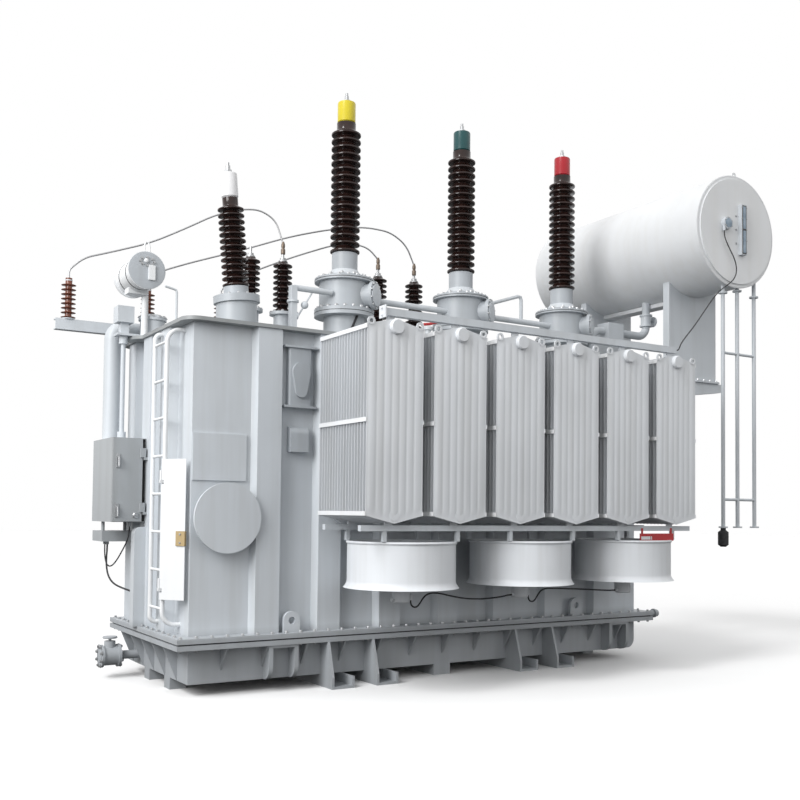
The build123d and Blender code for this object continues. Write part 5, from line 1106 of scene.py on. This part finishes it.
def drum_seams():
    """Rim and seams of the drum, and the saddle under it."""
    rim = Shape()
    along = stand(DRUM, (0, -1, 0))
    rim.lathe(raised(DRUM_RIM, DRUM_RIM_PLACE), along, DRUM_STEPS, ring=True)
    for place in DRUM_SEAM_PLACES:
        rim.lathe(raised(DRUM_SEAM, place), along, DRUM_STEPS, ring=True)
    rim.block(*SADDLE)
    piece("drum_seams", rim, "white_paint")


def gauges(bolts):
    """Frame and glass of the level gauge, the dial's glass, and their bolts."""
    strips = Shape()
    for corners in GAUGE_FRAME:
        strips.block(*corners)
    piece("gauge_frame", strips, "gasket")
    glass = Shape()
    for corners in GAUGE_GLASS:
        glass.block(*corners)
    dial = stand(DIAL, (0, -1, 0))
    glass.lathe(DIAL_GLASS, dial, PIPE_STEPS)
    piece("gauge_glass", glass, "gauge_glass", bevel=0.001)
    for z in LEVEL_BOLT_Z:
        for x in LEVEL_BOLT_X:
            bolts.bolt((LEVEL_X + x, LEVEL_FRONT, LEVEL_Z + z), (0, -1, 0), TINY_BOLT)
    for z in DRUM_FACE_BOLT_Z:
        bolts.bolt((LEVEL_X + DRUM_FACE_BOLT_X, DRUM_FACE, LEVEL_Z + z), (0, -1, 0), SMALL_BOLT)
    ring_bolts(bolts, dial, DIAL_BOLTS, TINY_BOLT)


def support_feet(bolts):
    """Foot plates of the conservator's supports, with their bolts."""
    feet = Shape()
    for y in (-FOOT_Y, FOOT_Y):
        for x0, x1 in FOOT_SPANS:
            feet.block((x0, y - FOOT_HALF_WIDTH, FOOT_LOW), (x1, y + FOOT_HALF_WIDTH, FOOT_HIGH))
            pitch = (x1 - x0 - 2 * FOOT_BOLT_INSET) / (FOOT_BOLTS - 1)
            for i in range(FOOT_BOLTS):
                for edge in (-FOOT_BOLT_Y, FOOT_BOLT_Y):
                    bolts.bolt((x0 + FOOT_BOLT_INSET + pitch * i, y + edge, FOOT_HIGH), (0, 0, 1))
    piece("support_feet", feet, "grey_paint", bevel=0.003)


def conservator_fittings():
    """Seams, gauges and feet of the large drum."""
    drum_seams()
    bolts = Shape()
    gauges(bolts)
    support_feet(bolts)
    piece("conservator_bolts", bolts, "bolt_zinc")


# Plates at the cooler and the flange

def plates():
    """Red plate with a white label, hung under the fan beam."""
    red = Shape()
    for corners in RED_PLATE:
        red.block(*corners)
    piece("plate_red", red, "sign_red", bevel=0.001)
    label = Shape()
    for corners in PLATE_LABEL:
        label.block(*corners)
    piece("plate_label", label, "white_paint")


def flange_fitting():
    """Screwed fitting at the right end of the tank flange."""
    end = Shape()
    end.lathe(FLANGE_FITTING, stand(FLANGE_FITTING_PLACE, (1, 0, 0)), FITTING_STEPS)
    piece("flange_fitting", end, "grey_paint")


# Cables

def cable(name, points, diameter, nodes):
    """Hanging cable on one smooth spline through its route."""
    curve = bpy.data.curves.new(name, "CURVE")
    curve.dimensions = "3D"
    curve.bevel_depth = diameter / 2
    curve.bevel_resolution = 4
    curve.use_fill_caps = True
    spline = curve.splines.new("NURBS")
    spline.points.add(len(points) - 1)
    for point, place in zip(spline.points, points):
        point.co = (*place, 1)
    spline.order_u = 3
    spline.use_endpoint_u = True
    thing = bpy.data.objects.new(name, curve)
    bpy.context.scene.collection.objects.link(thing)
    curve.materials.append(looks["black_cable"])
    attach(thing, "tank")
    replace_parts(thing, nodes)


def cables():
    for i, route in enumerate(FAN_CABLE_ROUTES):
        fan = centre(f"fan_casing_{i + 1}")
        start = fan.x + GLAND_OUT
        end = centre(f"fan_casing_{i + 2}").x - GLAND_OUT
        points = [(start, fan.y, GLAND_OUT_LEVEL)]
        points += [(start + x, fan.y, MOTOR_BOTTOM + z) for x, z in FAN_CABLE_LOOP + route]
        points += [(end - FAN_CABLE_RUN_IN, fan.y, GLAND_IN_LEVEL), (end, fan.y, GLAND_IN_LEVEL)]
        cable(f"fan_cable_{i + 1}", points, FAN_CABLE, "fan_cables")
    points = [(TANK_END + x, y, z) for x, y, z in TRAY_CABLE_ROUTE]
    cable("tray_cable", points, TRAY_CABLE, "control_cables")
    points = [(TANK_END + x, y, z) for x, y, z in CABINET_CABLE_ROUTE]
    cable("cabinet_cable", points, CONTROL_CABLE, "control_cables")
    points = [(DRUM.x + x, DRUM_FACE + y, DRUM.z + z) for x, y, z in DIAL_CABLE_ROUTE]
    cable("dial_cable", points, CONTROL_CABLE, "control_cables")


def dress_frame():
    """Give every shown solid of the frame its look, and the edges of the solids in SOFT_EDGES a small radius.
    """
    for part in frame["record"]["subparts"]:
        mesh = frame["nodes"][part["node"]].data
        mesh.materials.clear()
        mesh.materials.append(looks[NODE_LOOKS.get(part["node"], part["material_slot"])])
    for width, nodes in SOFT_EDGES.items():
        for node in nodes:
            soften(frame["nodes"][node], width)


# Stage

def floor():
    mesh = bpy.data.meshes.new("floor")
    reach = FLOOR_REACH
    mesh.from_pydata([(-reach, -reach, 0), (reach, -reach, 0), (reach, reach, 0), (-reach, reach, 0)], [],
                     [[0, 1, 2, 3]])
    ground = bpy.data.objects.new("floor", mesh)
    bpy.context.scene.collection.objects.link(ground)
    tree, shader, coords = finish_nodes("pale_floor")
    grain = noise(tree, coords, 3, 2)
    pale = (FLOOR_SHADE,) * 3
    bounce = (FLOOR_BOUNCE,) * 3
    blend = tree.nodes.new("ShaderNodeMix")
    blend.data_type = "RGBA"
    tree.links.new(tree.nodes.new("ShaderNodeLightPath").outputs["Is Camera Ray"], blend.inputs["Factor"])
    tree.links.new(ramp(tree, grain, 0.3, 0.7, tint(bounce, 0.97), bounce), blend.inputs[6])
    tree.links.new(ramp(tree, grain, 0.3, 0.7, tint(pale, 0.99), pale), blend.inputs[7])
    tree.links.new(blend.outputs[2], shader.inputs["Base Color"])
    shader.inputs["Roughness"].default_value = 0.9
    shader.inputs["Specular IOR Level"].default_value = 0.1
    mesh.materials.append(looks["pale_floor"])


def sky():
    """White backdrop that lights the object more from the sides than from above."""
    world = bpy.data.worlds.new("studio")
    bpy.context.scene.world = world
    world.use_nodes = True
    tree = world.node_tree
    paths = tree.nodes.new("ShaderNodeLightPath")
    shown = paths.outputs["Is Camera Ray"]
    for kind in ("Is Glossy Ray", "Is Transmission Ray"):
        either = new_node(tree, "Math", {0: shown, 1: paths.outputs[kind]})
        either.operation = "MAXIMUM"
        shown = either.outputs["Value"]
    coords = tree.nodes.new("ShaderNodeTexCoord")
    axes = new_node(tree, "SeparateXYZ", {"Vector": coords.outputs["Generated"]})
    inputs = {"To Min": SKY_HORIZON, "To Max": SKY_ZENITH, "Value": axes.outputs["Z"]}
    dome = new_node(tree, "MapRange", inputs)
    level = new_node(tree, "Mix", {"Factor": shown, "A": dome.outputs["Result"], "B": 1})
    backdrop = tree.nodes["Background"]
    backdrop.inputs["Color"].default_value = (1, 1, 1, 1)
    tree.links.new(level.outputs["Result"], backdrop.inputs["Strength"])


def lamp(name, kind, place, toward, power):
    """Light at a place, turned towards a point."""
    light = bpy.data.lights.new(name, kind)
    light.energy = power
    thing = bpy.data.objects.new(name, light)
    turn = (place - toward).to_track_quat("Z", "Y")
    thing.matrix_world = Matrix.Translation(place) @ turn.to_matrix().to_4x4()
    bpy.context.scene.collection.objects.link(thing)
    return light


def lights():
    sky()
    sun = lamp("sun", "SUN", SUN_FROM, Vector(), SUN_LEVEL)
    sun.angle = SUN_SOFTNESS
    panel = lamp("panel", "AREA", LAMP_PLACE, LAMP_AIM, LAMP_POWER)
    panel.size = LAMP_SIZE


def camera():
    ahead = Vector((sin(CAMERA_YAW), cos(CAMERA_YAW), 0))
    forward = ahead * cos(CAMERA_PITCH) + Vector((0, 0, sin(CAMERA_PITCH)))
    level = Vector((cos(CAMERA_YAW), -sin(CAMERA_YAW), 0))
    above = level.cross(forward)
    right = level * cos(CAMERA_ROLL) + above * sin(CAMERA_ROLL)
    up = above * cos(CAMERA_ROLL) - level * sin(CAMERA_ROLL)
    lens = bpy.data.cameras.new("camera")
    lens.lens = CAMERA_LENS
    lens.sensor_width = CAMERA_SENSOR
    lens.shift_y = CAMERA_SHIFT
    eye = bpy.data.objects.new("camera", lens)
    turn = Matrix((right, up, -forward)).transposed().to_4x4()
    eye.matrix_world = Matrix.Translation(CAMERA_PLACE) @ turn
    bpy.context.scene.collection.objects.link(eye)
    bpy.context.scene.camera = eye


radiators()
fans()
hv_bushings()
neutral_bushing()
lv_bushings()
posts()
turrets()
flange_bolts()
cabinet_fittings()
guard_hasp()
small_drum()
cover_fittings()
gas_fittings()
ct_conduit()
tap_changer_bolts()
tie_bracket()
drain_fittings()
conservator_fittings()
plates()
flange_fitting()
cables()
dress_frame()
floor()
lights()
camera()
bpy.context.scene.view_settings.view_transform = "Standard"
